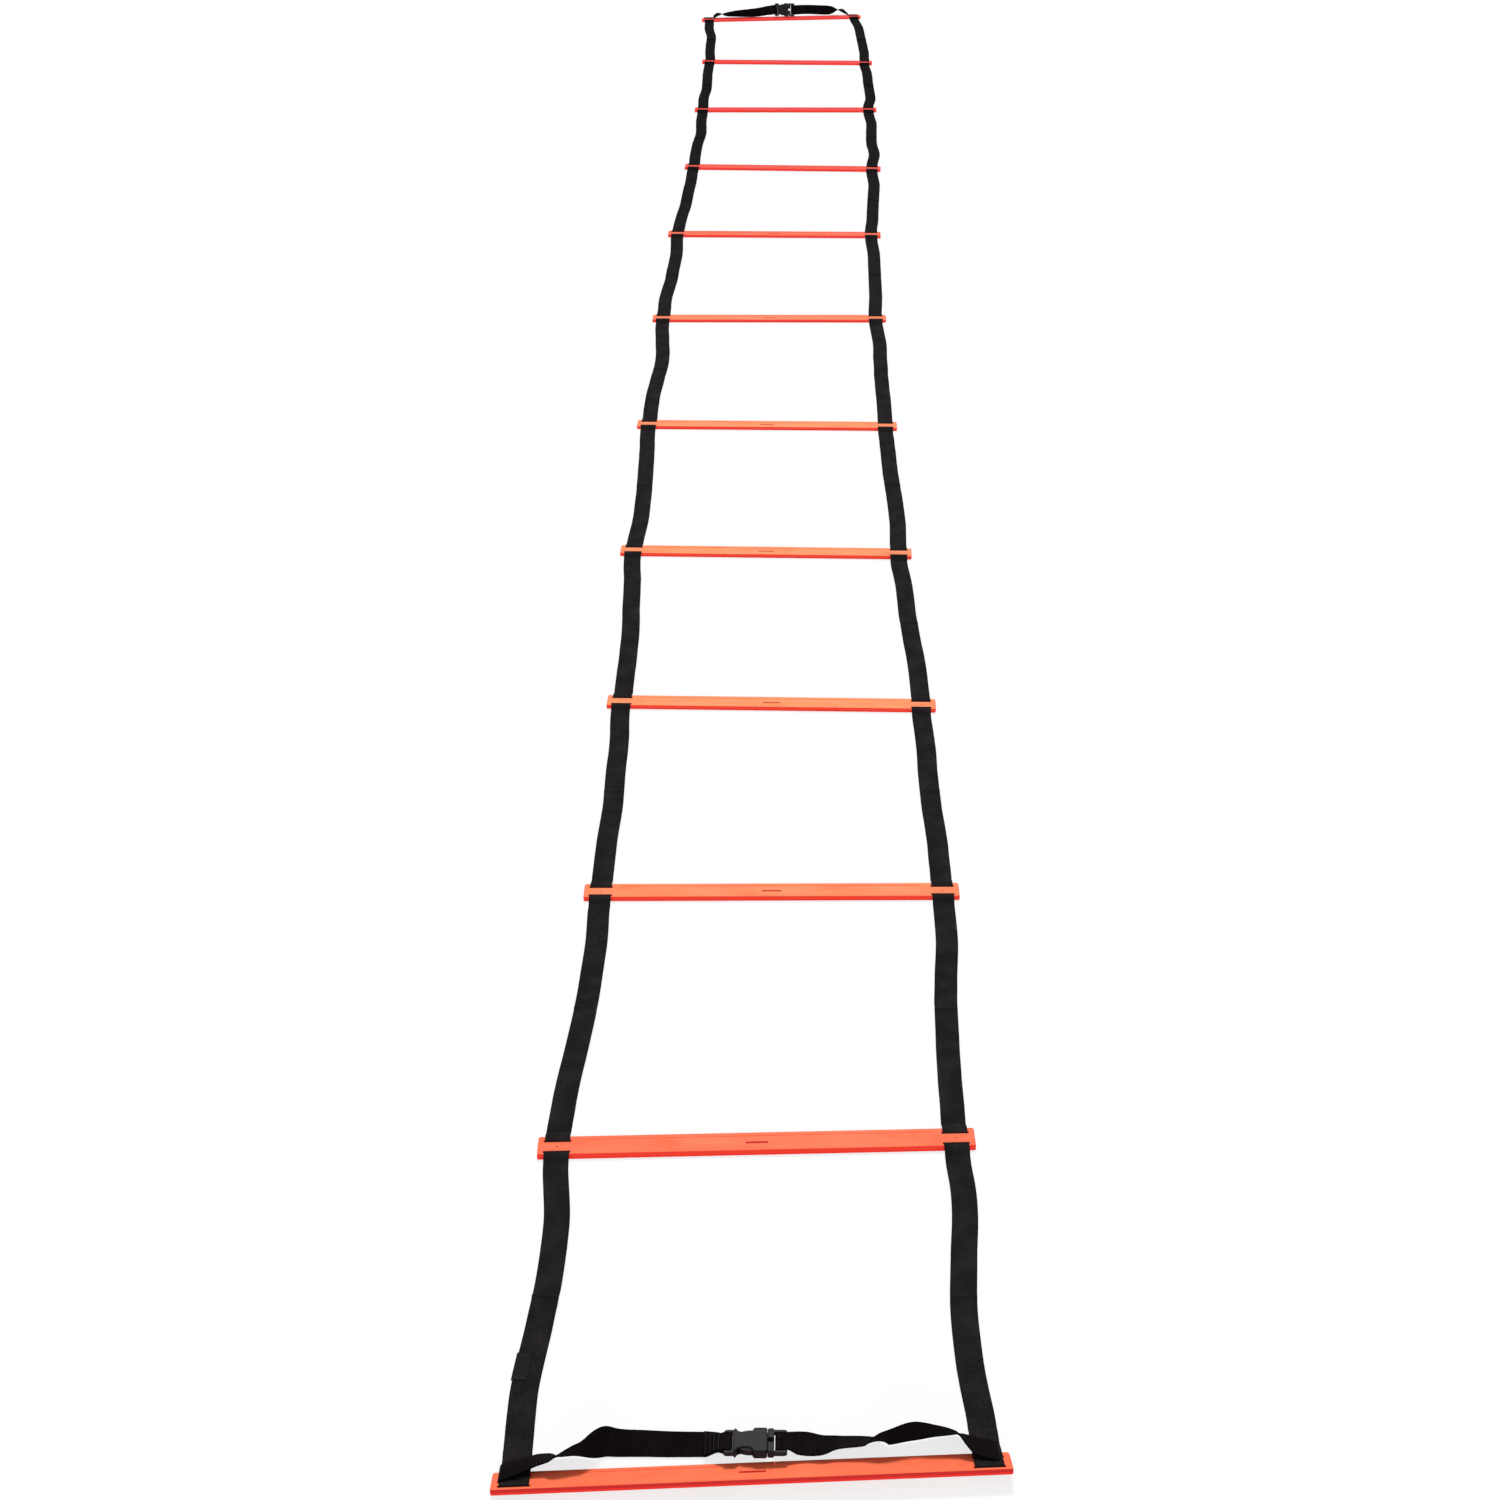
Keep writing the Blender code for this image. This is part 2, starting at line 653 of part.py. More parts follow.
def socket_mesh():
    half, thick = BUCKLE_WIDTH / 2, BUCKLE_THICK / 2
    waist = half - WAIST_DEPTH
    middle = (WAIST_FRONT - WAIST_BACK) / 2
    side = [
        (SOCKET_MOUTH, half - FRAME_CORNER / 2),
        (SOCKET_MOUTH - FRAME_CORNER / 2, half),
        (WAIST_FRONT + FRAME_CORNER / 2, half),
        (WAIST_FRONT, half - FRAME_CORNER / 2),
    ]
    for angle in (20, 50, 90, 130, 160):
        turn = math.radians(angle)
        reach = (WAIST_FRONT + WAIST_BACK) / 2
        depth = WAIST_DEPTH - FRAME_CORNER / 2
        side.append((middle + reach * math.cos(turn), waist + depth * (1 - math.sin(turn))))
    side += [(-WAIST_BACK, half - FRAME_CORNER / 2), (-SOCKET_BACK, half - FRAME_CORNER / 2)]
    outline = side + [(x, -y) for x, y in side[::-1]]
    body = bevelled(prism(outline, -thick, thick), BUCKLE_EDGE)
    wing_mid = -(WING_END + SOCKET_BACK - 2 * BUCKLE_EDGE) / 2
    wing_half = (WING_END - SOCKET_BACK + 2 * BUCKLE_EDGE) / 2
    wing_outline = rounded_outline(wing_half, half, FRAME_CORNER, 3)
    wing = bevelled(
        prism([(wing_mid + x, y) for x, y in wing_outline], -WING_THICK / 2, WING_THICK / 2),
        BUCKLE_EDGE,
    )
    slot_half = WEB_WIDTH / 2 + 2 * FIT_GAP
    slot_start = -WING_END + WING_BAR
    steps = [("UNION", wing)]
    slot_low = (slot_start, -slot_half, -BUCKLE_THICK)
    steps.append(("DIFFERENCE", box(slot_low, (slot_start + WING_SLOT, slot_half, BUCKLE_THICK))))
    for face in (-1, 1):
        low, high = sorted((face * BAR_THICK / 2, face * BUCKLE_THICK))
        recess = box((-WING_END - CUT_PAST, -slot_half, low), (slot_start + CUT_PAST, slot_half, high))
        steps.append(("DIFFERENCE", recess))
    cavity_low = (-CAVITY_BACK, -CAVITY_WIDTH / 2, -CAVITY_THICK / 2)
    cavity_high = (SOCKET_MOUTH + CUT_PAST, CAVITY_WIDTH / 2, CAVITY_THICK / 2)
    steps.append(("DIFFERENCE", box(cavity_low, cavity_high)))
    window_low = (-CAVITY_BACK, -half - CUT_PAST, -CAVITY_THICK / 2)
    window_high = (WAIST_FRONT, half + CUT_PAST, CAVITY_THICK / 2)
    steps.append(("DIFFERENCE", box(window_low, window_high)))
    return combined(body, steps)


def plug_mesh():
    face, block, bar_start, bar_end, end_start, plug_end = lock_places()
    half = BUCKLE_WIDTH / 2
    middle, reach = (face + plug_end) / 2, (plug_end - face) / 2
    outline = rounded_outline(reach, half, FRAME_CORNER, 3)
    plate = bevelled(
        prism([(middle + x, y) for x, y in outline], -WING_THICK / 2, WING_THICK / 2), BUCKLE_EDGE
    )
    block_outline = rounded_outline(BLOCK_LENGTH / 2, half, FRAME_CORNER / 2, 2)
    thick = BLOCK_THICK / 2
    head = bevelled(
        prism([((face + block) / 2 + x, y) for x, y in block_outline], -thick, thick), BUCKLE_EDGE
    )
    neck_thick = PRONG_THICK / 2
    neck = box(
        (SOCKET_MOUTH - NECK_LENGTH, -NECK_WIDTH / 2, -neck_thick),
        (face + CUT_PAST, NECK_WIDTH / 2, neck_thick),
    )
    guide = prism(
        (
            (SOCKET_MOUTH, -GUIDE_OUTER),
            (SOCKET_MOUTH, GUIDE_OUTER),
            (-GUIDE_REACH + GUIDE_INNER, GUIDE_OUTER),
            (-GUIDE_REACH, GUIDE_INNER),
            (-GUIDE_REACH, -GUIDE_INNER),
            (-GUIDE_REACH + GUIDE_INNER, -GUIDE_OUTER),
        ),
        -neck_thick,
        neck_thick,
    )
    guide_gap = prism(
        (
            (block - BUCKLE_EDGE, -GUIDE_INNER),
            (block - BUCKLE_EDGE, GUIDE_INNER),
            (-GUIDE_REACH + GUIDE_INNER + CUT_PAST, GUIDE_INNER),
            (-GUIDE_REACH + GUIDE_INNER, GUIDE_INNER / 2),
            (-GUIDE_REACH + GUIDE_INNER, -GUIDE_INNER / 2),
            (-GUIDE_REACH + GUIDE_INNER + CUT_PAST, -GUIDE_INNER),
        ),
        -BUCKLE_THICK,
        BUCKLE_THICK,
    )
    steps = [("UNION", head), ("UNION", neck), ("UNION", guide), ("DIFFERENCE", guide_gap)]
    slot_half = WEB_WIDTH / 2 + 2 * FIT_GAP
    for start, end in ((block, bar_start), (bar_end, end_start)):
        low = (start, -slot_half, -BUCKLE_THICK)
        steps.append(("DIFFERENCE", box(low, (end, slot_half, BUCKLE_THICK))))
    for side in (-1, 1):
        low, high = sorted((side * BAR_THICK / 2, side * BUCKLE_THICK))
        recess = box((block + WEB_THICK, -slot_half, low), (plug_end + CUT_PAST, slot_half, high))
        steps.append(("DIFFERENCE", recess))
    return combined(plate, steps)


def prong_mesh(side):
    root = SOCKET_MOUTH - NECK_LENGTH - FIT_GAP
    half_root = PRONG_ROOT_WIDTH / 2
    wall = CAVITY_WIDTH / 2 - 3 * FIT_GAP
    catch = WAIST_FRONT - 2 * FIT_GAP
    outline = (
        (root - 2 * FIT_GAP, PRONG_ROOT - half_root),
        (root, PRONG_ROOT),
        (root - 2 * FIT_GAP, PRONG_ROOT + half_root),
        (root / 2, wall),
        (catch, wall),
        (catch, CATCH_REACH),
        (-NOSE_LENGTH / 4, CATCH_REACH + FIT_GAP),
        (-NOSE_LENGTH * 0.7, CATCH_REACH - PRONG_ARM / 2),
        (-NOSE_LENGTH, wall - PRONG_ARM / 2),
        (-NOSE_LENGTH, wall - PRONG_ARM),
        (-NOSE_LENGTH / 2, wall - PRONG_ARM),
        (root / 2, wall - PRONG_ARM),
    )
    made = prism([(x, side * y) for x, y in outline], -PRONG_THICK / 2, PRONG_THICK / 2)
    return bevelled(made, BUCKLE_EDGE / 2, 50)


def label_mesh():
    # A leaf on top of the webbing, turned down beside its outer edge.
    half = LABEL_LENGTH / 2
    start, end = bay_ends(0, -1)
    span = end.y - start.y
    shares = [LABEL_BAY_SHARE + half * step / span for step in (-1, -0.5, 0, 0.5, 1)]
    top = WEB_THICK / 2 + FIT_GAP
    outer = -WEB_WIDTH / 2 - FIT_GAP
    inner = -WEB_WIDTH / 2 + LABEL_WIDTH
    profile = (
        (outer, -WEB_THICK / 2),
        (outer, top),
        (inner, top),
        (inner, top + LABEL_THICK),
        (outer - LABEL_THICK / 2, top + LABEL_THICK),
        (outer - LABEL_THICK, top + LABEL_THICK / 2),
        (outer - LABEL_THICK, -WEB_THICK / 2),
    )
    return swept(bay_stations(0, -1, shares), profile)


def placed(made, frame):
    made.transform(frame)
    return made


nodes = []
rung = rung_mesh()
for number, frame in enumerate(FRAMES):
    fixed = number in (0, RUNG_COUNT - 1)
    origin = fold_point(max(number - 1, 0)) if fixed else frame.translation
    made = placed(rung.copy(), TILTED if number == 0 else frame)
    nodes.append(add_node(f"rung_{number + 1:02}", made, origin, (RUNG_COLOUR, 0.45)))
rung.free()

for side, name in ((-1, "left"), (1, "right")):
    for number in range(RUNG_COUNT):
        origin = fold_point(max(number - 1, 0))
        made = rail(number, side)
        nodes.append(add_node(f"webbing_{name}_{number + 1:02}", made, origin, (WEB_COLOUR, 0.8)))

for end, name in ((0, "near"), (RUNG_COUNT - 1, "far")):
    frame = buckle_frame(end)
    origin = fold_point(max(end - 1, 0))
    plug_origin = frame @ Vector((SOCKET_MOUTH, 0, 0))
    nodes.append(add_node(f"closing_strap_{name}_left", socket_strap(end), origin, (WEB_COLOUR, 0.8)))
    nodes.append(add_node(f"closing_strap_{name}_right", plug_strap(end), origin, (WEB_COLOUR, 0.8)))
    look = (BUCKLE_COLOUR, 0.4)
    nodes.append(add_node(f"buckle_{name}_socket", placed(socket_mesh(), frame), origin, look))
    nodes.append(add_node(f"buckle_{name}_plug", placed(plug_mesh(), frame), plug_origin, look))
    root = SOCKET_MOUTH - NECK_LENGTH - PRONG_ROOT_WIDTH / 2
    for side, hand in ((-1, "a"), (1, "b")):
        hinge = frame @ Vector((root, side * PRONG_ROOT, 0))
        made = placed(prong_mesh(side), frame)
        nodes.append(add_node(f"buckle_{name}_prong_{hand}", made, hinge, look))

nodes.append(add_node("label_tab", label_mesh(), fold_point(0), (LABEL_COLOUR, 0.6)))

# The middle of the whole object's base goes to the world's origin.
bpy.context.view_layer.update()
corners = [node.matrix_world @ vertex.co for node in nodes for vertex in node.data.vertices]
middle = [(min(p[i] for p in corners) + max(p[i] for p in corners)) / 2 for i in (0, 1)]
shift = Vector((middle[0], middle[1], min(p.z for p in corners)))
for node in nodes:
    node.location -= shift
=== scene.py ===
import math

import bmesh
import bpy
from mathutils import Matrix, Vector, noise


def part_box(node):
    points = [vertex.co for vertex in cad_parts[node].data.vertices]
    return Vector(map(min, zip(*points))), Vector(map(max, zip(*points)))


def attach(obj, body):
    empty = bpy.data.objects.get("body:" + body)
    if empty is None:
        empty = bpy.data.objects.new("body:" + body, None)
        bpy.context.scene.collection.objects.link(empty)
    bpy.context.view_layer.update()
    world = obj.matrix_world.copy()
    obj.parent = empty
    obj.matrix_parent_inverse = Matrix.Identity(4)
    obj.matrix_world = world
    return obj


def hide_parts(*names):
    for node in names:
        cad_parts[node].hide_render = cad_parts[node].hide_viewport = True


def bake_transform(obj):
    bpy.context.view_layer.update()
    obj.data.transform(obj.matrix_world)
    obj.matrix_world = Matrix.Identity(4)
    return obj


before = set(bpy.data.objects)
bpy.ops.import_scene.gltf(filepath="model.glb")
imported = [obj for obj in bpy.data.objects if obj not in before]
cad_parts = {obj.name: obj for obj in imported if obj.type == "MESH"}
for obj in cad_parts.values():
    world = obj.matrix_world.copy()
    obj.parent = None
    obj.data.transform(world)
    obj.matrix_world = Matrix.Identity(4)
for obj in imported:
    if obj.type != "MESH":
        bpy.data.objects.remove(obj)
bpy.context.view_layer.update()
print("frame loaded")

# The rungs and the webbing that runs through them, in metres, as the part has
# them. Shares are of the pitch, for the gaps, or of the webbing's width.
rungSizes = {
    "length": 0.520,
    "width": 0.033,
    "thick": 0.005,
    "edge": 0.0006,
    "bridge": 0.014,
    "slot": 0.0035,
    "endMargin": 0.008,
    "pitch": 0.500,
    "gapShares": (0.921, 0.958, 0.954, 0.990, 1.048, 1.102, 1.060, 0.998, 1.020, 0.962, 1.016),
    "shiftShares": (0.03, -0.07, 0.37, 0.20, -0.27, -0.40, -0.43, -0.20, 0.40, 0.60, 0.70, 0.03),
    "turns": (2.7, 1.7, 0.3, -1.3, -1.4, -1.05, -0.2, -0.9, -2.2, -0.1, -1.6, 4.5),
    "firstTilt": 22.0,
    "anchor": 6,
}
webSizes = {
    "width": 0.030,
    "thick": 0.0016,
    "gap": 0.0003,
    "bend": 0.0016,
    "rise": 0.0115,
    "lap": 0.016,
    "lapInset": 0.002,
    "columns": 10,
    "edgeSteps": 4,
    "step": 0.0045,
    "foldStep": 0.0010,
    "foldReach": 0.032,
    "foldBend": 0.0125,
    "slideReach": 0.030,
}
# How far each rail wanders sideways at four places of each bay
bayShares = {
    -1: (
        (-0.03, 0.20, 0.33, 0.30),
        (0.03, 0.17, 0.20, 0.17),
        (0.03, 0.13, 0.10, 0.10),
        (0.10, 0.17, 0.13, 0.10),
        (0.17, 0.20, 0.17, 0.10),
        (0.00, 0.17, 0.33, 0.17),
        (-0.07, 0.10, 0.13, 0.17),
        (0.00, 0.10, 0.07, 0.07),
        (-0.05, 0.03, 0.17, 0.03),
        (-0.08, 0.07, 0.03, -0.03),
        (-0.02, 0.07, 0.17, -0.03),
    ),
    1: (
        (-0.23, -0.27, -0.10, 0.10),
        (-0.07, -0.10, -0.07, 0.07),
        (0.03, -0.03, -0.03, 0.03),
        (0.07, 0.03, 0.00, 0.07),
        (0.12, 0.10, 0.02, 0.02),
        (0.03, 0.02, 0.07, 0.13),
        (0.10, 0.12, 0.13, 0.13),
        (0.10, 0.13, 0.17, 0.20),
        (0.27, 0.10, 0.13, 0.20),
        (0.30, 0.27, 0.20, 0.18),
        (0.17, 0.20, 0.23, 0.23),
    ),
}
rungCount = len(rungSizes["turns"])
sideNames = {-1: "left", 1: "right"}
floorLevel = webSizes["thick"] / 2
layerStep = webSizes["thick"] + webSizes["gap"]
overLevel = rungSizes["thick"] + webSizes["gap"] + webSizes["thick"] / 2
slotPlace = (rungSizes["bridge"] + rungSizes["slot"]) / 2
railPlace = rungSizes["length"] / 2 - rungSizes["endMargin"] - webSizes["width"] / 2
slopeReach = rungSizes["width"] / 2 + webSizes["rise"]


def eased(share):
    share = min(max(share, 0), 1)
    return share * share * (3 - 2 * share)


def nodeCentre(name):
    low, high = (Vector(corner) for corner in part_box(name))
    return (low + high) / 2


def rungFrames():
    frames = []
    along = -sum(rungSizes["gapShares"]) / 2
    gaps = (*rungSizes["gapShares"], 0)
    for shift, turn, gap in zip(rungSizes["shiftShares"], rungSizes["turns"], gaps):
        place = Matrix.Translation((shift * webSizes["width"], along * rungSizes["pitch"], 0))
        frames.append(place @ Matrix.Rotation(math.radians(turn), 4, "Z"))
        along += gap
    # The part's own middle isn't the rungs' middle, so one rung is its anchor
    anchor = rungSizes["anchor"]
    offset = nodeCentre(f"rung_{anchor:02}") - frames[anchor - 1].translation
    offset.z = 0
    return [Matrix.Translation(offset) @ each for each in frames], offset


rungPlaces, frameOffset = rungFrames()
farEdge = Matrix.Translation((0, rungSizes["width"] / 2, 0))
firstTilt = Matrix.Rotation(math.radians(-rungSizes["firstTilt"]), 4, "X")
tiltedPlace = rungPlaces[0] @ farEdge @ firstTilt @ farEdge.inverted()


# Shader nodes
def operator(operation, swapped=False):
    def apply(field, other):
        pair = (other, field) if swapped else (field, other)
        values = dict(enumerate(pair))
        return field.shader.node("ShaderNodeMath", {"operation": operation}, values)

    return apply


class Field:
    # One socket's value in a shader, which takes ordinary arithmetic.
    def __init__(self, shader, socket):
        self.shader = shader
        self.socket = socket

    __add__ = __radd__ = operator("ADD")
    __mul__ = __rmul__ = operator("MULTIPLY")
    __sub__, __rsub__ = operator("SUBTRACT"), operator("SUBTRACT", True)
    __truediv__, __rtruediv__ = operator("DIVIDE"), operator("DIVIDE", True)
    __pow__, __rpow__ = operator("POWER"), operator("POWER", True)

    def math(self, operation, *others):
        values = dict(enumerate((self, *others)))
        return self.shader.node("ShaderNodeMath", {"operation": operation}, values)

    def wave(self, pitch, shift=0):
        return (self * (2 * math.pi / pitch) + shift).math("COSINE") * 0.5 + 0.5

    def ramp(self, low, high):
        values = {"Value": self, "From Min": low, "From Max": high}
        return self.shader.node("ShaderNodeMapRange", {"interpolation_type": "SMOOTHSTEP"}, values)

    def part(self, axis):
        return self.shader.node("ShaderNodeSeparateXYZ", None, {0: self}, axis)


class Shader:
    # The nodes of a material or of the world. Each one comes from node().
    def __init__(self, owner):
        owner.use_nodes = True
        owner.node_tree.nodes.clear()
        self.owner = owner
        self.tree = owner.node_tree

    def node(self, kind, settings=None, values=None, output=0):
        made = self.tree.nodes.new(kind)
        for name, value in (settings or {}).items():
            setattr(made, name, value)
        for name, value in (values or {}).items():
            if isinstance(value, Field):
                self.tree.links.new(value.socket, made.inputs[name])
            else:
                made.inputs[name].default_value = value
        return Field(self, made.outputs[output]) if made.outputs else made

    def mix(self, factor, first, second):
        colours = [c if isinstance(c, Field) else (*c, 1) for c in (first, second)]
        values = {0: factor, 6: colours[0], 7: colours[1]}
        return self.node("ShaderNodeMix", {"data_type": "RGBA"}, values, 2)

    def cloud(self, vector, scale, detail=3, stretch=None):
        if stretch:
            values = {0: vector, 1: stretch}
            vector = self.node("ShaderNodeVectorMath", {"operation": "MULTIPLY"}, values)
        values = {"Vector": vector, "Scale": scale, "Detail": detail}
        return self.node("ShaderNodeTexNoise", None, values)

    def bump(self, height, distance, strength):
        values = {"Height": height, "Distance": distance, "Strength": strength}
        return self.node("ShaderNodeBump", None, values)

    def surface(self, values):
        made = self.node("ShaderNodeBsdfPrincipled", None, values)
        self.node("ShaderNodeOutputMaterial", None, {"Surface": made})
        return self.owner


def newShader(name):
    return Shader(bpy.data.materials.new(name))


weaveLook = {
    "yarn": 0.0015,
    "pick": 0.0030,
    "chevron": 0.0060,
    "ribs": 0.15,
    "rib": 0.0027,
    "selvedge": 0.0011,
    "fuzz": 2400,
    "blotch": 420,
    "dust": 34,
    "relief": 0.00030,
    "dark": (0.0010, 0.0008, 0.0009),
    "light": (0.0570, 0.0500, 0.0540),
    # Painted shade: the light colour is taken down along a rail towards its far end
    "farShade": (2.4, 5.2, 0.62),  # from, to, and how much of the light goes
    "gloss": 0.015,
}
# The closing straps' webbing: the rail webbing with stronger cross ribs and painted shade, its
# light colour a third as bright, for straps that stand with their faces turned from the key lamp
shadedStrapLook = {**weaveLook, "ribs": 0.75, "light": (0.0190, 0.0135, 0.0152)}


def webbingMaterial(name, look):
    # Yarns that run along the tape and float over the weft in a herringbone,
    # cross ribs where the weft shows, a tight selvedge, and painted shade that
    # darkens a long rail towards its far end.
    shader = newShader(name)
    uv = shader.node("ShaderNodeUVMap", {"uv_map": "weave"})
    along, across = uv.part(0), uv.part(1)
    zigzag = (across / look["chevron"]).math("PINGPONG", 1) * math.pi * 3
    yarns = across.wave(look["yarn"]) ** 0.6
    floats = along.wave(look["pick"], zigzag)
    ribs = along.wave(look["rib"])
    weave = (yarns * 0.45 + 0.55) * (floats * (1 - look["ribs"]) + ribs * look["ribs"])
    fuzz = shader.cloud(uv, look["fuzz"], 2)
    blotch = shader.cloud(uv, look["blotch"], 3, (0.6, 1, 1)).ramp(0.30, 0.70)
    dust = shader.cloud(uv, look["dust"], 4).ramp(0.35, 0.75)
    half = webSizes["width"] / 2
    edge = across.math("ABSOLUTE").ramp(half - look["selvedge"], half)
    # Painted shade, darker along the rail towards its far end
    start, end, depth = look["farShade"]
    farShade = 1 - along.ramp(start, end) * depth
    shade = (weave * 0.62 + fuzz * 0.25 + blotch * 0.18) * (1 - edge * 0.75)
    shade = shade * (dust * 0.36 + 0.64) * farShade
    return shader.surface(
        {
            "Base Color": shader.mix(shade**1.3, look["dark"], look["light"]),
            "Roughness": fuzz * 0.2 + 0.78,
            "Normal": shader.bump(weave + fuzz * 0.3 + blotch * 0.15, look["relief"], 0.9),
            "Specular IOR Level": look["gloss"],
        }
    )


mouldedLook = {
    # Painted light along the ladder: the middle colour is lighter, a painted highlight, and the
    # far colour darker and deeper red, painted shade
    "near": (0.96, 0.195, 0.086),
    "middle": (0.97, 0.330, 0.128),
    "far": (0.79, 0.011, 0.009),
    # Painted shade for walls and bevels
    "wall": (0.97, 0.038, 0.026),
    # Painted shade for sunken marks and dots
    "shadedPit": (0.56, 0.018, 0.016),
    "grain": 900,
    "flow": 14,
    "scratch": 260,
    "scuff": 45,
    "towardLitMiddle": (-2.5, -1.4),
    "towardShadedFar": (-0.7, 1.9),
    "flatFacing": (0.875, 0.925),
    "markLevels": (0.00445, 0.00455),
    "rimLevels": (0.00475, 0.00495),
    "relief": 0.00006,
    "gloss": 0.06,
}


def rungMaterial(name, plane, look=mouldedLook):
    # Moulded plate with painted shade, deeper red on its walls and bevels and
    # darker in its sunken marks than on its flats, and painted light along the
    # ladder, lighter in the middle and darker red far off; with flow lines
    # along it, fine grain and light scratches.
    shader = newShader(name)
    place = shader.node("ShaderNodeTexCoord", output="Object")
    up = plane.to_3x3() @ Vector((0, 0, 1))
    along = place.part(1)
    # Height above the rung's own underside, which is tilted at the first rung
    level = place.part(0) * up.x + along * up.y + place.part(2) * up.z
    level = level - plane.translation.dot(up)
    facing = shader.node("ShaderNodeTexCoord", output="Normal").part(2)
    # Faces that don't face straight up or down take painted shade, the deeper walls colour
    flat = facing.math("ABSOLUTE").ramp(*look["flatFacing"])
    # Up-facing faces below the top, in sunken marks and dots, take painted shade
    sunkShade = facing.ramp(*look["flatFacing"]) * (1 - level.ramp(*look["markLevels"]))
    rim = level.ramp(*look["rimLevels"])
    flow = shader.cloud(place, look["flow"], 4, (1, 5, 5)).ramp(0.3, 0.75)
    grain = shader.cloud(place, look["grain"], 2)
    scratch = shader.cloud(place, look["scratch"], 2, (0.04, 1, 1)).ramp(0.60, 0.72)
    scuff = shader.cloud(place, look["scuff"], 5, (0.5, 1, 1)).ramp(0.52, 0.72)
    # Painted light and shade by place along the ladder: lighter in the middle, darker red towards
    # the far end
    top = shader.mix(along.ramp(*look["towardLitMiddle"]), look["near"], look["middle"])
    top = shader.mix(along.ramp(*look["towardShadedFar"]), top, look["far"])
    # Flow lines, grain, scuffs and the raised rim pull the flats a little toward the deeper walls
    # colour
    deepening = flow * 0.14 + grain * 0.08 + scuff * 0.08 + rim * 0.07
    top = shader.mix(deepening, top, look["wall"])
    return shader.surface(
        {
            "Base Color": shader.mix(sunkShade, shader.mix(flat, look["wall"], top), look["shadedPit"]),
            "Roughness": flow * 0.08 + grain * 0.1 + scratch * 0.06 + scuff * 0.08 + 0.42,
            "Normal": shader.bump(grain * 0.6 + scratch * 0.4 + flow * 0.5, look["relief"], 0.5),
            "Specular IOR Level": look["gloss"],
        }
    )


acetalLook = {
    "base": (0.0040, 0.0028, 0.0040),
    "light": (0.0115, 0.0085, 0.0115),
    "grain": 1500,
    "rub": 90,
    "relief": 0.00006,
    "gloss": 0.16,
}


def buckleMaterial(look=acetalLook):
    shader = newShader("bucklePlastic")
    place = shader.node("ShaderNodeTexCoord", output="Object")
    grain = shader.cloud(place, look["grain"], 2)
    rub = shader.cloud(place, look["rub"], 4).ramp(0.4, 0.8)
    return shader.surface(
        {
            "Base Color": shader.mix(grain * 0.5 + rub * 0.5, look["base"], look["light"]),
            "Roughness": grain * 0.16 + rub * 0.12 + 0.40,
            "Normal": shader.bump(grain + rub * 0.4, look["relief"], 0.6),
            "Specular IOR Level": look["gloss"],
        }
    )


railWebbing = webbingMaterial("railWeave", weaveLook)
shadedStrapWebbing = webbingMaterial("shadedStrapWeave", shadedStrapLook)
plastics = {
    "rung_01": rungMaterial("firstRungPlastic", tiltedPlace),
    "rung": rungMaterial("rungPlastic", rungPlaces[1]),
    "buckle": buckleMaterial(),
}
for name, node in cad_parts.items():
    plastic = next((made for start, made in plastics.items() if name.startswith(start)), None)
    if plastic:
        node.data.materials.clear()
        node.data.materials.append(plastic)
print("materials made")


# Webbing as ribbons
def profilePoints(width, thick):
    # A flat section with rounded selvedges, as across and up, with the way out
    # of it at each point.
    flat = (width - thick) / 2
    points = []
    for side in (1, -1):
        for step in range(webSizes["edgeSteps"] + 1):
            angle = math.radians(180 * step / webSizes["edgeSteps"] - 90 * side)
            out = math.cos(angle), math.sin(angle)
            points.append((side * flat + thick / 2 * out[0], thick / 2 * out[1], *out))
        for step in range(1, webSizes["columns"]):
            share = 1 - 2 * step / webSizes["columns"]
            points.append((side * flat * share, side * thick / 2, 0, side))
    return points


def oriented(stations):
    # Centre, across and up for each station, and its length along the webbing.
    rows, length = [], 0
    for i, (centre, across) in enumerate(stations):
        before = stations[max(i - 1, 0)][0]
        ahead = stations[min(i + 1, len(stations) - 1)][0] - before
        up = across.cross(ahead).normalized()
        length += (centre - before).length if i else 0
        rows.append((centre, across.normalized(), up, length))
    return rows


def ribbon(name, rows, webbing=railWebbing):
    # Runs the section along the rows and closes both ends.
    profile = profilePoints(webSizes["width"], webSizes["thick"])
    points, uvs, outs = [], [], []
    for centre, across, up, length in rows:
        for a, b, outAcross, outUp in profile:
            points.append(centre + across * a + up * b)
            outs.append(across * outAcross + up * outUp)
            uvs.append((length, a))
    count, last = len(profile), len(points) - len(profile)
    faces = [tuple(range(count)), tuple(range(last + count - 1, last - 1, -1))]
    for row in range(len(rows) - 1):
        low, high = row * count, (row + 1) * count
        for i in range(count):
            j = (i + 1) % count
            faces.append((low + j, low + i, high + i, high + j))
    mesh = bpy.data.meshes.new(name)
    mesh.from_pydata(points, [], faces)
    for polygon in mesh.polygons:
        polygon.use_smooth = polygon.index > 1
    layer = mesh.uv_layers.new(name="weave")
    normals = []
    for polygon in mesh.polygons:
        for loop in polygon.loop_indices:
            corner = mesh.loops[loop].vertex_index
            layer.data[loop].uv = uvs[corner]
            normals.append(outs[corner] if polygon.use_smooth else polygon.normal)
    mesh.normals_split_custom_set(normals)
    mesh.materials.append(webbing)
    made = bpy.data.objects.new(name, mesh)
    bpy.context.scene.collection.objects.link(made)
    return made


def arc(centre, radius, start, end, steps=6):
    points = []
    for step in range(steps + 1):
        angle = math.radians(start + (end - start) * step / steps)
        points.append((centre[0] + radius * math.cos(angle), centre[1] + radius * math.sin(angle)))
    return points


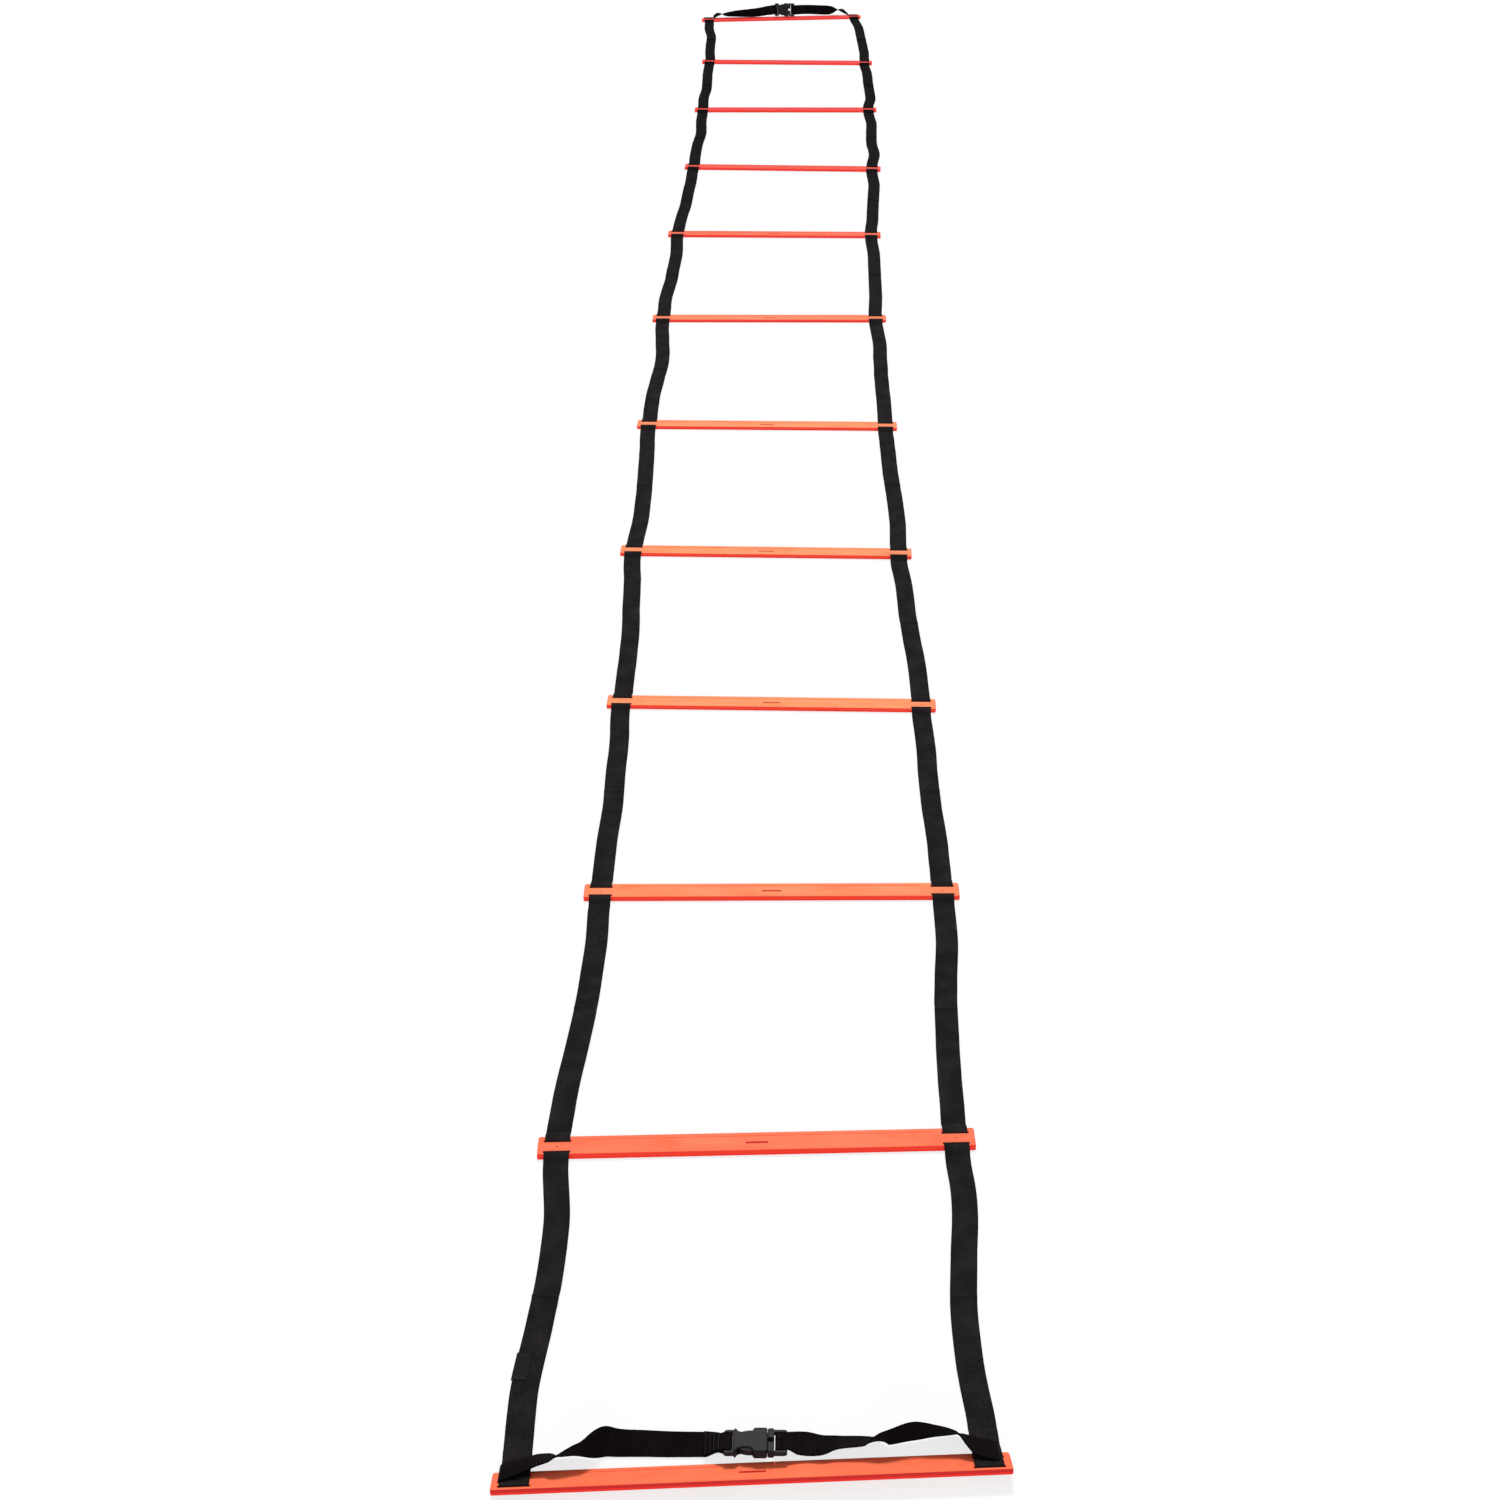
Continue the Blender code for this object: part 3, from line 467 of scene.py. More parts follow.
def upThrough(slot, low, high, bend):
    points = arc((slot - bend, low + bend), bend, -90, 0)
    return points + arc((slot + bend, high - bend), bend, 180, 90)


def underBar(first, second, low, high, bend):
    # Down through one slot, under the bar and up through the other slot.
    points = arc((first + bend, high - bend), bend, 90, 180)
    points += arc((first + bend, low + bend), bend, 180, 270)
    return points + upThrough(second, low, high, bend)


def fall(start, end, steps=10):
    # A soft step down from one level to another.
    points = []
    for step in range(steps + 1):
        share = step / steps
        drop = (1 - math.cos(math.pi * share)) / 2
        x, y = (a + (b - a) * t for a, b, t in zip(start, end, (share, drop)))
        points.append((x, y))
    return points


def halfCrossing():
    # From under the bridge up through one slot, over the edge and down.
    points = upThrough(slotPlace, floorLevel, overLevel, webSizes["bend"])
    edge = rungSizes["width"] / 2 - rungSizes["edge"]
    return points + fall((edge, overLevel), (slopeReach, floorLevel))


def inFrame(place, side, points):
    across = place.to_3x3() @ Vector((1, 0, 0))
    return [(place @ Vector((side * railPlace, y, z)), across.copy()) for y, z in points]


def smoothAt(values, share):
    # A smooth curve through evenly spaced values.
    last = len(values) - 1
    place = min(max(share, 0), 1) * last
    i = min(int(place), last - 1)
    t = place - i
    before, start = values[max(i - 1, 0)], values[i]
    end, after = values[i + 1], values[min(i + 2, last)]
    return 0.5 * (
        2 * start
        + (end - before) * t
        + (2 * before - 5 * start + 4 * end - after) * t * t
        + (3 * start - before - 3 * end + after) * t * t * t
    )


def foldLine(bay):
    return (rungPlaces[bay].translation.y + rungPlaces[bay + 1].translation.y) / 2


def bayEnds(bay, side):
    reach = slopeReach if bay else slopeReach + webSizes["rise"] + webSizes["lap"]
    start = rungPlaces[bay] @ Vector((side * railPlace, reach, floorLevel))
    return start, rungPlaces[bay + 1] @ Vector((side * railPlace, -slopeReach, floorLevel))


# How the flat webbing lies between rungs: slow waves, a slight roll to one
# edge and the crease from its folded pack at each fold line.
webLie = {
    "wave": 0.0026,
    "waveLength": 0.110,
    "waveSeed": 0.3,
    "waveBias": 0.15,
    "roll": 2.2,
    "rollLength": 0.085,
    "rollSeed": 5.1,
    "wander": 0.0005,
    "wanderLength": 0.040,
    "wanderSeed": 9.4,
    "sideSeed": 3.7,
    "baySeed": 1.3,
    "crease": 0.0025,
    "creaseWidth": 0.0022,
    "creasePower": 1.3,
    "clear": 0.020,
    "probe": 0.004,
}


def unevenness(kind, along, seed):
    place = Vector((along / webLie[kind + "Length"], seed, webLie[kind + "Seed"]))
    return noise.noise(place)


def bayStation(bay, side, along):
    start, end = bayEnds(bay, side)
    span = end.y - start.y
    wander = (0, *bayShares[side][bay], 0)

    def centreAt(y):
        share = (y - start.y) / span
        centre = start.lerp(end, share)
        centre.x += webSizes["width"] * smoothAt(wander, share)
        return centre

    centre = centreAt(along)
    before, after = max(along - webLie["probe"], start.y), min(along + webLie["probe"], end.y)
    ahead = centreAt(after) - centreAt(before)
    hold = eased((along - start.y) / webLie["clear"]) * eased((end.y - along) / webLie["clear"])
    seed = side * webLie["sideSeed"] + bay * webLie["baySeed"]
    wave = max(0, unevenness("wave", along, seed) + webLie["waveBias"])
    roll = unevenness("roll", along, seed) * webLie["roll"]
    nudge = unevenness("wander", along, seed) * webLie["wander"]
    tilt = math.radians(roll * hold)
    lift = wave * webLie["wave"] * hold + abs(math.sin(tilt)) * webSizes["width"] / 2
    offset = abs(along - foldLine(bay)) / webLie["creaseWidth"]
    lift += webLie["crease"] * math.exp(-(offset ** webLie["creasePower"]))
    across = Vector((ahead.y, -ahead.x, 0)).normalized()
    centre += across * nudge * hold + Vector((0, 0, lift))
    across.z = math.tan(tilt)
    return centre, across.normalized()


def bayStations(bay, side):
    # From one rung's slope to the next one's, closer together at the fold.
    start, end = bayEnds(bay, side)
    middle, reach, pace = foldLine(bay), webSizes["foldReach"], webSizes["step"]
    places = []
    along = start.y + pace
    while along < end.y - pace / 2:
        if abs(along - middle) > reach + pace / 2:
            places.append(along)
        along += pace
    steps = round(2 * reach / webSizes["foldStep"])
    places += [middle + reach * (2 * step / steps - 1) for step in range(steps + 1)]
    return [bayStation(bay, side, along) for along in sorted(places)]


def firstCrossing(side):
    # Round the first rung's bridge and back over itself, to the sewn lap.
    upper, upperFloor = overLevel + layerStep, floorLevel + layerStep
    half, inset = rungSizes["width"] / 2, webSizes["lapInset"]
    under, top = (
        firstTilt @ Vector((0, -rungSizes["edge"], level)) for level in (overLevel, upper)
    )
    lap = slopeReach + webSizes["lap"]
    tail = fall((under.y + half, under.z), (slopeReach, floorLevel))
    tail.append((lap - inset, floorLevel))
    stations = inFrame(rungPlaces[0], side, tail[::-1])
    over = [(slotPlace + webSizes["thick"] / 2, upper), (slotPlace / 2, overLevel)]
    over += underBar(-slotPlace, slotPlace, floorLevel, overLevel, webSizes["bend"])
    stations += inFrame(tiltedPlace, side, over[::-1])
    flat = [(lap + webSizes["rise"], floorLevel)]
    flat += fall((lap + webSizes["rise"] / 2, floorLevel), (lap, upperFloor), 4)
    flat += fall((slopeReach + inset, upperFloor), (top.y + half, top.z), 8)
    return stations + inFrame(rungPlaces[0], side, flat[::-1])


def buildRail(side):
    # One strap, cut where it folds and, under each sliding rung, in the middle.
    stations = firstCrossing(side)
    cuts = []
    for bay in range(rungCount - 1):
        middle = foldLine(bay)
        stations += bayStations(bay, side)
        places = [station[0].y for station in stations]
        for way in (-1, 1):
            place = middle + way * webSizes["foldReach"]
            cuts.append(min(range(len(places)), key=lambda i: abs(places[i] - place)))
        crossing = [(-y, z) for y, z in halfCrossing()[::-1]]
        stations += inFrame(rungPlaces[bay + 1], side, crossing)
        if bay < rungCount - 2:
            cuts.append(len(stations) - 1)
        stations += inFrame(rungPlaces[bay + 1], side, halfCrossing())
    rows = oriented(stations)
    edges = [0, *cuts, len(rows) - 1]
    name = sideNames[side]
    pieces = [rows[a : b + 1] for a, b in zip(edges, edges[1:])]
    for number, piece in enumerate(pieces):
        place, kind = divmod(number, 3)
        if kind == 1:
            rung = place + 1
            made = ribbon(f"rail_{name}_fold_{rung:02}", piece)
            middle = Vector((0, foldLine(place), 0))
            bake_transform(made)
            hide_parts(f"webbing_{name}_{rung:02}", f"webbing_{name}_{rung + 1:02}")
        elif number in (0, len(pieces) - 1):
            rung = 1 if number == 0 else rungCount
            made = ribbon(f"rail_{name}_end_{rung:02}", piece)
            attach(made, f"link_{rung:02}")
            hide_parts(f"webbing_{name}_{rung:02}")
        else:
            rung = place + 2 if kind == 2 else place + 1
            part = "near" if kind == 2 else "far"
            made = ribbon(f"rail_{name}_{part}_{rung:02}", piece)
            way, last = (-1, piece[0]) if kind == 2 else (1, piece[-1])
            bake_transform(made)
            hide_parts(f"webbing_{name}_{rung:02}")
    print("rail", name, len(pieces), "pieces", round(rows[-1][3], 3), "m")


for side in sideNames:
    buildRail(side)

# Closing straps and what holds them. Lengths along a buckle run from its
# middle; "shares" are its places beyond a rung's middle and above the floor.
buckleSizes = {
    "wingEnd": 0.029,
    "wingBar": 0.0048,
    "wingSlot": 0.0040,
    "mouth": 0.015,
    "bar": 0.0024,
    "block": 0.0067,
    "lockSlot": 0.0035,
    "lockBar": 0.0030,
    "lockEnd": 0.0033,
    "barSide": 0.0010,
    "tailGap": 0.0001,
    "sewn": 0.0190,
    "shares": {0: (1.213, 0.367), 11: (1.370, 0.667)},
    "lean": {0: -19.0, 11: 90.0},
    "shift": {0: 0, 11: 0.0085},
}
# Rows of: share of the way to the buckle, place beyond the rung's middle and
# level above the floor in webbing widths, and lean in degrees
strapTables = {
    (0, -1): (
        (-0.187, 0.100, 0.190, 159.0),
        (-0.178, 0.110, 0.320, 159.0),
        (-0.160, 0.130, 0.335, 158.0),
        (-0.080, 0.270, 0.330, 154.0),
        (0.000, 0.500, 0.310, 150.0),
        (0.060, 0.590, 0.375, 143.0),
        (0.105, 0.590, 0.420, 141.0),
        (0.146, 0.600, 0.460, 127.5),
        (0.240, 0.780, 0.510, 110.0),
        (0.305, 0.860, 0.530, 95.0),
        (0.370, 1.080, 0.480, 62.0),
        (0.430, 1.330, 0.290, 30.0),
        (0.500, 1.390, 0.130, 12.0),
        (0.650, 1.400, 0.080, 6.0),
        (0.830, 1.390, 0.050, 2.0),
        (1.000, 1.390, 0.045, 0.0),
    ),
    (0, 1): (
        (-0.158, 0.900, 0.130, -15.0),
        (-0.149, 0.910, 0.290, -15.0),
        (-0.130, 0.930, 0.330, -15.0),
        (-0.080, 0.980, 0.370, -15.0),
        (-0.035, 1.060, 0.390, -17.0),
        (0.000, 1.160, 0.395, -21.0),
        (0.035, 1.350, 0.420, -36.0),
        (0.075, 1.540, 0.453, -57.0),
        (0.200, 1.574, 0.520, -76.0),
        (0.320, 1.547, 0.533, -90.0),
        (0.470, 1.277, 0.520, -77.0),
        (0.515, 1.250, 0.433, -53.5),
        (0.535, 1.294, 0.367, -42.0),
        (0.610, 1.310, 0.317, -34.5),
        (0.700, 1.300, 0.290, -31.0),
        (0.745, 1.280, 0.285, -27.0),
        (0.820, 1.150, 0.330, -14.0),
        (0.900, 1.185, 0.350, -3.0),
        (0.955, 1.195, 0.380, -6.0),
    ),
    (11, -1): (
        (0.000, 0.100, 0.200, 180.0),
        (0.060, 0.200, 0.430, 188.0),
        (0.120, 0.430, 0.430, 178.0),
        (0.220, 0.620, 0.360, 148.0),
        (0.420, 0.660, 0.430, 127.0),
        (0.620, 0.700, 0.470, 113.0),
        (0.800, 0.880, 0.510, 103.0),
        (1.000, 1.300, 0.610, 94.0),
    ),
    (11, 1): (
        (0.000, 1.360, 0.180, 178.0),
        (0.090, 1.760, 0.440, 188.0),
        (0.190, 1.880, 0.530, 164.0),
        (0.270, 1.820, 0.530, 130.0),
        (0.360, 1.760, 0.520, 100.0),
        (0.480, 1.840, 0.520, 93.0),
        (0.690, 1.960, 0.540, 93.0),
        (0.860, 1.640, 0.620, 92.0),
    ),
}
# Where a strap's twist runs slantwise: its place, its width and its angle
strapSkews = {(0, -1): (0.06, 0.03, 20.0), (0, 1): (0.515, 0.05, 32.0)}
strapLie = {"step": 0.003, "turnShare": 0.1, "lapSteps": 12, "pullStart": 0.02, "pullEnd": 0.004}
barLevel = buckleSizes["bar"] / 2 + webSizes["gap"] + webSizes["thick"] / 2


def buckleFrame(end):
    beyond, level = (share * webSizes["width"] for share in buckleSizes["shares"][end])
    across = frameOffset.x + buckleSizes["shift"][end]
    place = Matrix.Translation((across, rungPlaces[end].translation.y + beyond, level))
    return place @ Matrix.Rotation(math.radians(buckleSizes["lean"][end]), 4, "X")


def tableRow(table, share):
    # The table's row at any share, on a curve that doesn't overshoot.
    for low, high in zip(table, table[1:]):
        if share <= high[0]:
            break
    t = (share - low[0]) / (high[0] - low[0])
    i = table.index(low)
    before, after = table[max(i - 1, 0)], table[min(i + 2, len(table) - 1)]
    row = []
    for k in range(1, 4):
        step = high[k] - low[k]
        width = high[0] - low[0]
        left = (high[k] - before[k]) / (high[0] - before[0]) * width
        right = (after[k] - low[k]) / (after[0] - low[0]) * width
        left, right = (
            0 if step * slope <= 0 else math.copysign(min(abs(slope), 3 * abs(step)), step)
            for slope in (left, right)
        )
        row.append(
            low[k]
            + left * t
            + (3 * step - 2 * left - right) * t * t
            + (left + right - 2 * step) * t * t * t
        )
    return row


def strapStations(end, side, reach):
    place, table, wide = rungPlaces[end], strapTables[end, side], webSizes["width"]
    base = place.translation
    turn = math.radians(rungSizes["turns"][end])
    edge = side * (railPlace - wide / 2 - 2 * webSizes["gap"])
    middle, width, most = strapSkews.get((end, side), (0, 1, 0))
    stations = []
    first, last = table[0][0], table[-1][0]
    count = round(abs(edge - reach) * (last - first) / strapLie["step"])
    for number in range(count + 1):
        share = first + (last - first) * number / count
        beyond, level, lean = tableRow(table, share)
        slide = (beyond * wide - edge * math.sin(turn)) / math.cos(turn)
        start = place @ Vector((edge, slide, 0))
        lean = math.radians(lean)
        across = Vector((0, math.cos(lean), math.sin(lean)))
        held = 1 - eased(share / strapLie["turnShare"])
        across.rotate(Matrix.Rotation(turn * held, 3, "Z"))
        lowest = abs(across.z) * wide / 2 + abs(across.y) * floorLevel + webSizes["gap"] / 2
        height = max(level * wide, lowest)
        along = start.x + (reach - start.x) * share
        skew = math.radians(most) * math.exp(-(((share - middle) / width) ** 2))
        across = across * math.cos(skew) + Vector((math.sin(skew), 0, 0))
        stations.append((Vector((along, base.y + beyond * wide, height)), across))
    return stations


def lapStations(start, finish, layer, shares):
    # One layer of the sewn lap, from the free strap to the buckle's bar.
    stations = []
    for share in shares:
        drop = eased(share)
        centre = start[0].lerp(finish[0], share)
        centre.z = start[0].z + (finish[0].z - start[0].z) * drop
        across = start[1].lerp(finish[1], drop).normalized()
        up = Vector((1, 0, 0)).cross(across)
        stations.append((centre + up * layer * layerStep, across))
    return stations


def onBuckle(place, points):
    across = place.to_3x3() @ Vector((0, 1, 0))
    return [(place @ Vector((x, 0, z)), across.copy()) for x, z in points]


def socketStrap(end):
    place, wing = buckleFrame(end), -buckleSizes["wingEnd"]
    loopEnd = wing - 2 * webSizes["thick"]
    reach = place.translation.x + loopEnd - buckleSizes["sewn"]
    stations = strapStations(end, -1, reach)
    slot = wing + buckleSizes["wingBar"] + buckleSizes["wingSlot"] / 2 + buckleSizes["barSide"]
    bend = min(webSizes["bend"], barLevel)
    last = stations[-1]
    joined = onBuckle(place, [(loopEnd, -layerStep / 2)])[0]
    count = strapLie["lapSteps"]
    steps = [(step + 1) / count for step in range(count)]
    stations += lapStations(last, joined, 0, steps)
    around = [(wing, -barLevel)]
    around += arc((slot - bend, -barLevel + bend), bend, -90, 0)
    around += arc((slot - bend, barLevel - bend), bend, 0, 90)
    around.append((wing, barLevel))
    stations += onBuckle(place, around)
    back = lapStations(last, joined, 1, steps[::-1])
    return stations + back, back


def lockPlaces():
    face = buckleSizes["mouth"] + webSizes["gap"]
    places = [face, face + buckleSizes["block"]]
    for step in ("lockSlot", "lockBar", "lockSlot", "lockEnd"):
        places.append(places[-1] + buckleSizes[step])
    return places


def plugStrap(end):
    place = buckleFrame(end)
    _, block, barStart, barEnd, endStart, plugEnd = lockPlaces()
    bend = min(webSizes["bend"], barLevel)
    first, second = (block + barStart) / 2, (barEnd + endStart) / 2
    path = [(barEnd - buckleSizes["tailGap"], barLevel)]
    path += underBar(first, second, -barLevel, barLevel, bend)
    path.append((plugEnd + webSizes["thick"], barLevel))
    stations = onBuckle(place, path)
    reach = stations[-1][0].x
    return stations + strapStations(end, 1, reach)[::-1], place @ Vector((plugEnd, 0, 0))


stitchSizes = {
    "length": 0.0026,
    "gap": 0.0007,
    "thick": 0.00045,
    "corners": 6,
    "steps": 4,
    "rise": 0.45,
    "bow": 0.75,
    "taper": 0.35,
    "rows": (0.12, 0.38, 0.64, 0.90),
    "margin": 0.0022,
    "twist": 3000,
    "dark": (0.004, 0.0035, 0.004),
    "light": (0.014, 0.0125, 0.014),
}


def threadMaterial(look=stitchSizes):
    shader = newShader("sewingThread")
    place = shader.node("ShaderNodeTexCoord", output="Object")
    twist = shader.cloud(place, look["twist"], 2)
    return shader.surface(
        {
            "Base Color": shader.mix(twist, look["dark"], look["light"]),
            "Roughness": twist * 0.2 + 0.55,
            "Sheen Weight": 0.1,
        }
    )


sewingThread = threadMaterial()


def stitchSeams(name, lines, body):
    # A line is two points on the cloth and the way out of it. Each stitch on
    # it is a low arched thread.
    points, faces = [], []
    thick, corners, steps = (stitchSizes[key] for key in ("thick", "corners", "steps"))
    for first, last, out in lines:
        along = (last - first).normalized()
        across = along.cross(out)
        count = int((last - first).length / (stitchSizes["length"] + stitchSizes["gap"]))
        for number in range(count):
            middle = first.lerp(last, (number + 0.5) / count)
            base = len(points)
            for step in range(steps + 1):
                t = 2 * step / steps - 1
                centre = middle + along * t * stitchSizes["length"] / 2
                rise = thick * (stitchSizes["rise"] - stitchSizes["bow"] * t * t)
                radius = thick / 2 * (1 - stitchSizes["taper"] * t * t)
                for corner in range(corners):
                    angle = 2 * math.pi * corner / corners
                    offset = across * math.cos(angle) + out * math.sin(angle)
                    points.append(centre + out * rise + offset * radius)
            for step in range(steps):
                row = base + step * corners
                for corner in range(corners):
                    i, j = row + corner, row + (corner + 1) % corners
                    faces.append((i, j, j + corners, i + corners))
            faces.append(tuple(range(base + corners - 1, base - 1, -1)))
            faces.append(tuple(range(len(points) - corners, len(points))))
    mesh = bpy.data.meshes.new(name)
    mesh.from_pydata(points, [], faces)
    for polygon in mesh.polygons:
        polygon.use_smooth = True
    mesh.materials.append(sewingThread)
    made = bpy.data.objects.new(name, mesh)
    bpy.context.scene.collection.objects.link(made)
    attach(made, body)
    return made


def sewnLines(back):
    # Rows across both faces of the sewn lap, which is two layers thick.
    lines = []
    reach, surface = webSizes["width"] / 2 - stitchSizes["margin"], webSizes["thick"] / 2
    for share in stitchSizes["rows"]:
        place = share * (len(back) - 1)
        i = min(int(place), len(back) - 2)
        centre = back[i][0].lerp(back[i + 1][0], place - i)
        across = back[i][1].lerp(back[i + 1][1], place - i).normalized()
        out = Vector((1, 0, 0)).cross(across).normalized()
        for way, depth in ((1, surface), (-1, layerStep + surface)):
            face = centre + out * way * depth
            lines.append((face - across * reach, face + across * reach, out * way))
    return lines


for end, name in ((0, "near"), (rungCount - 1, "far")):
    link, rung = f"link_{end + 1:02}", f"rung_{end + 1:02}"
    stations, back = socketStrap(end)
    rows = oriented(stations)
    socketSide = ribbon(f"strap_{name}_socket", rows, shadedStrapWebbing)
    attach(socketSide, link)
    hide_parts(f"closing_strap_{name}_left")
    stitches = stitchSeams(f"stitches_{name}", sewnLines(back), link)
    stations, plugEnd = plugStrap(end)
    rows = oriented(stations)
    plugSide = ribbon(f"strap_{name}_plug", rows, shadedStrapWebbing)
    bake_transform(plugSide)
    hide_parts(f"closing_strap_{name}_right")
print("closing straps made")

# Blank label folded over the left rail's outer edge
labelSizes = {
    "length": 0.034,
    "width": 0.0155,
    "thick": 0.0007,
    "share": 0.243,
    "steps": 14,
    "flatEdge": 0.004,
    "wrapInset": 0.0006,
    "wrap": (90, 195),
    "seamShares": (0.06, 0.94),
    "seamMargin": 0.001,
    "crisp": 50,
}
labelLook = {
    "yarn": 0.00042,
    "pick": 0.00060,
    "fuzz": 1800,
    "dark": (0.0016, 0.0012, 0.0016),
    "light": (0.0085, 0.0070, 0.0084),
    "relief": 0.00008,
    "gloss": 0.06,
}


def labelMaterial(look=labelLook):
    shader = newShader("labelTape")
    uv = shader.node("ShaderNodeUVMap", {"uv_map": "weave"})
    fuzz = shader.cloud(uv, look["fuzz"], 2)
    weave = uv.part(1).wave(look["yarn"]) * 0.6 + uv.part(0).wave(look["pick"]) * 0.4
    shade = weave * 0.6 + fuzz * 0.4
    return shader.surface(
        {
            "Base Color": shader.mix(shade, look["dark"], look["light"]),
            "Roughness": fuzz * 0.2 + 0.5,
            "Normal": shader.bump(weave, look["relief"], 0.6),
            "Specular IOR Level": look["gloss"],
        }
    )


def buildLabel():
    # A section of the label is drawn first, from its inner end over the rail
    # and round the rail's outer edge, and then run along the rail.
    start, end = bayEnds(0, -1)
    middle = start.y + labelSizes["share"] * (end.y - start.y)
    thick, edge = labelSizes["thick"], -webSizes["width"] / 2
    top = webSizes["thick"] / 2 + webSizes["gap"] / 2
    inner, plain = edge + labelSizes["width"], labelSizes["flatEdge"]
    level = top + thick / 2
    line = [(x, level) for x in (inner, inner - plain, edge + plain)]
    bend = edge - webSizes["gap"] + labelSizes["wrapInset"]
    line += arc((bend, 0), level, *labelSizes["wrap"])
    lengths = [0]
    for a, b in zip(line, line[1:]):
        lengths.append(lengths[-1] + math.dist(a, b))
    points, uvs, faces, stations = [], [], [], []
    for step in range(labelSizes["steps"] + 1):
        along = middle + labelSizes["length"] * (step / labelSizes["steps"] - 0.5)
        stations.append(bayStation(0, -1, along))
    rows, count = oriented(stations), len(line)
    for layer in (1, -1):
        for centre, across, up, length in rows:
            for i, (a, b) in enumerate(line):
                before, after = line[max(i - 1, 0)], line[min(i + 1, count - 1)]
                way = Vector((after[0] - before[0], after[1] - before[1])).normalized()
                out = Vector((way.y, -way.x)) * (layer * thick / 2)
                points.append(centre + across * (a + out.x) + up * (b + out.y))
                uvs.append((length, lengths[i]))
    size = len(rows) * count
    for row in range(len(rows) - 1):
        for i in range(count - 1):
            a, b = row * count + i, (row + 1) * count + i
            faces.append((a, a + 1, b + 1, b))
            faces.append((size + a, size + b, size + b + 1, size + a + 1))
    ring = list(range(count))
    ring += [row * count + count - 1 for row in range(1, len(rows))]
    ring += [(len(rows) - 1) * count + i for i in range(count - 2, -1, -1)]
    ring += [row * count for row in range(len(rows) - 2, 0, -1)]
    for a, b in zip(ring, ring[1:] + ring[:1]):
        faces.append((a, size + a, size + b, b))
    mesh = bpy.data.meshes.new("labelTab")
    mesh.from_pydata(points, [], faces)
    layer = mesh.uv_layers.new(name="weave")
    for loop in mesh.loops:
        layer.data[loop.index].uv = uvs[loop.vertex_index]
    repair = bmesh.new()
    repair.from_mesh(mesh)
    bmesh.ops.recalc_face_normals(repair, faces=repair.faces)
    repair.to_mesh(mesh)
    repair.free()
    for polygon in mesh.polygons:
        polygon.use_smooth = True
    mesh.set_sharp_from_angle(angle=math.radians(labelSizes["crisp"]))
    mesh.materials.append(labelMaterial())
    label = bpy.data.objects.new("label", mesh)
    bpy.context.scene.collection.objects.link(label)
    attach(label, "link_01")
    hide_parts("label_tab")
    lines, margin = [], labelSizes["seamMargin"]
    for share in labelSizes["seamShares"]:
        centre, across, up, _ = rows[round(share * labelSizes["steps"])]
        face = centre + up * (top + thick)
        lines.append((face + across * (inner - margin), face + across * (edge + margin), up))
    stitches = stitchSeams("stitches_label", lines, "link_01")


buildLabel()
print("label made")

# Floor, light and camera
stageLook = {
    "reach": 30,
    "level": -0.0004,
    "pale": 0.78,
    "shown": 0.24,
    "open": 1.0,
    "fill": 0.46,
    # Strength, spread, height and turn
    "lamps": {"key": (2.3, 8, 45, 0), "front": (1.0, 20, 15, 180)},
}
cameraLook = {
    "lens": 47.98,
    "sensor": 36,
    "down": 34.5,
    "place": (0.03784, -4.01778, 1.7356),
    "shift": -0.0293,
    "sight": 100,
}


def seenDirectly(shader):
    # 1 for rays from the camera, from gloss and through glass, which meet white.
    camera, glossy, through = (
        shader.node("ShaderNodeLightPath", output=f"Is {kind} Ray")
        for kind in ("Camera", "Glossy", "Transmission")
    )
    return camera.math("MAXIMUM", glossy).math("MAXIMUM", through)


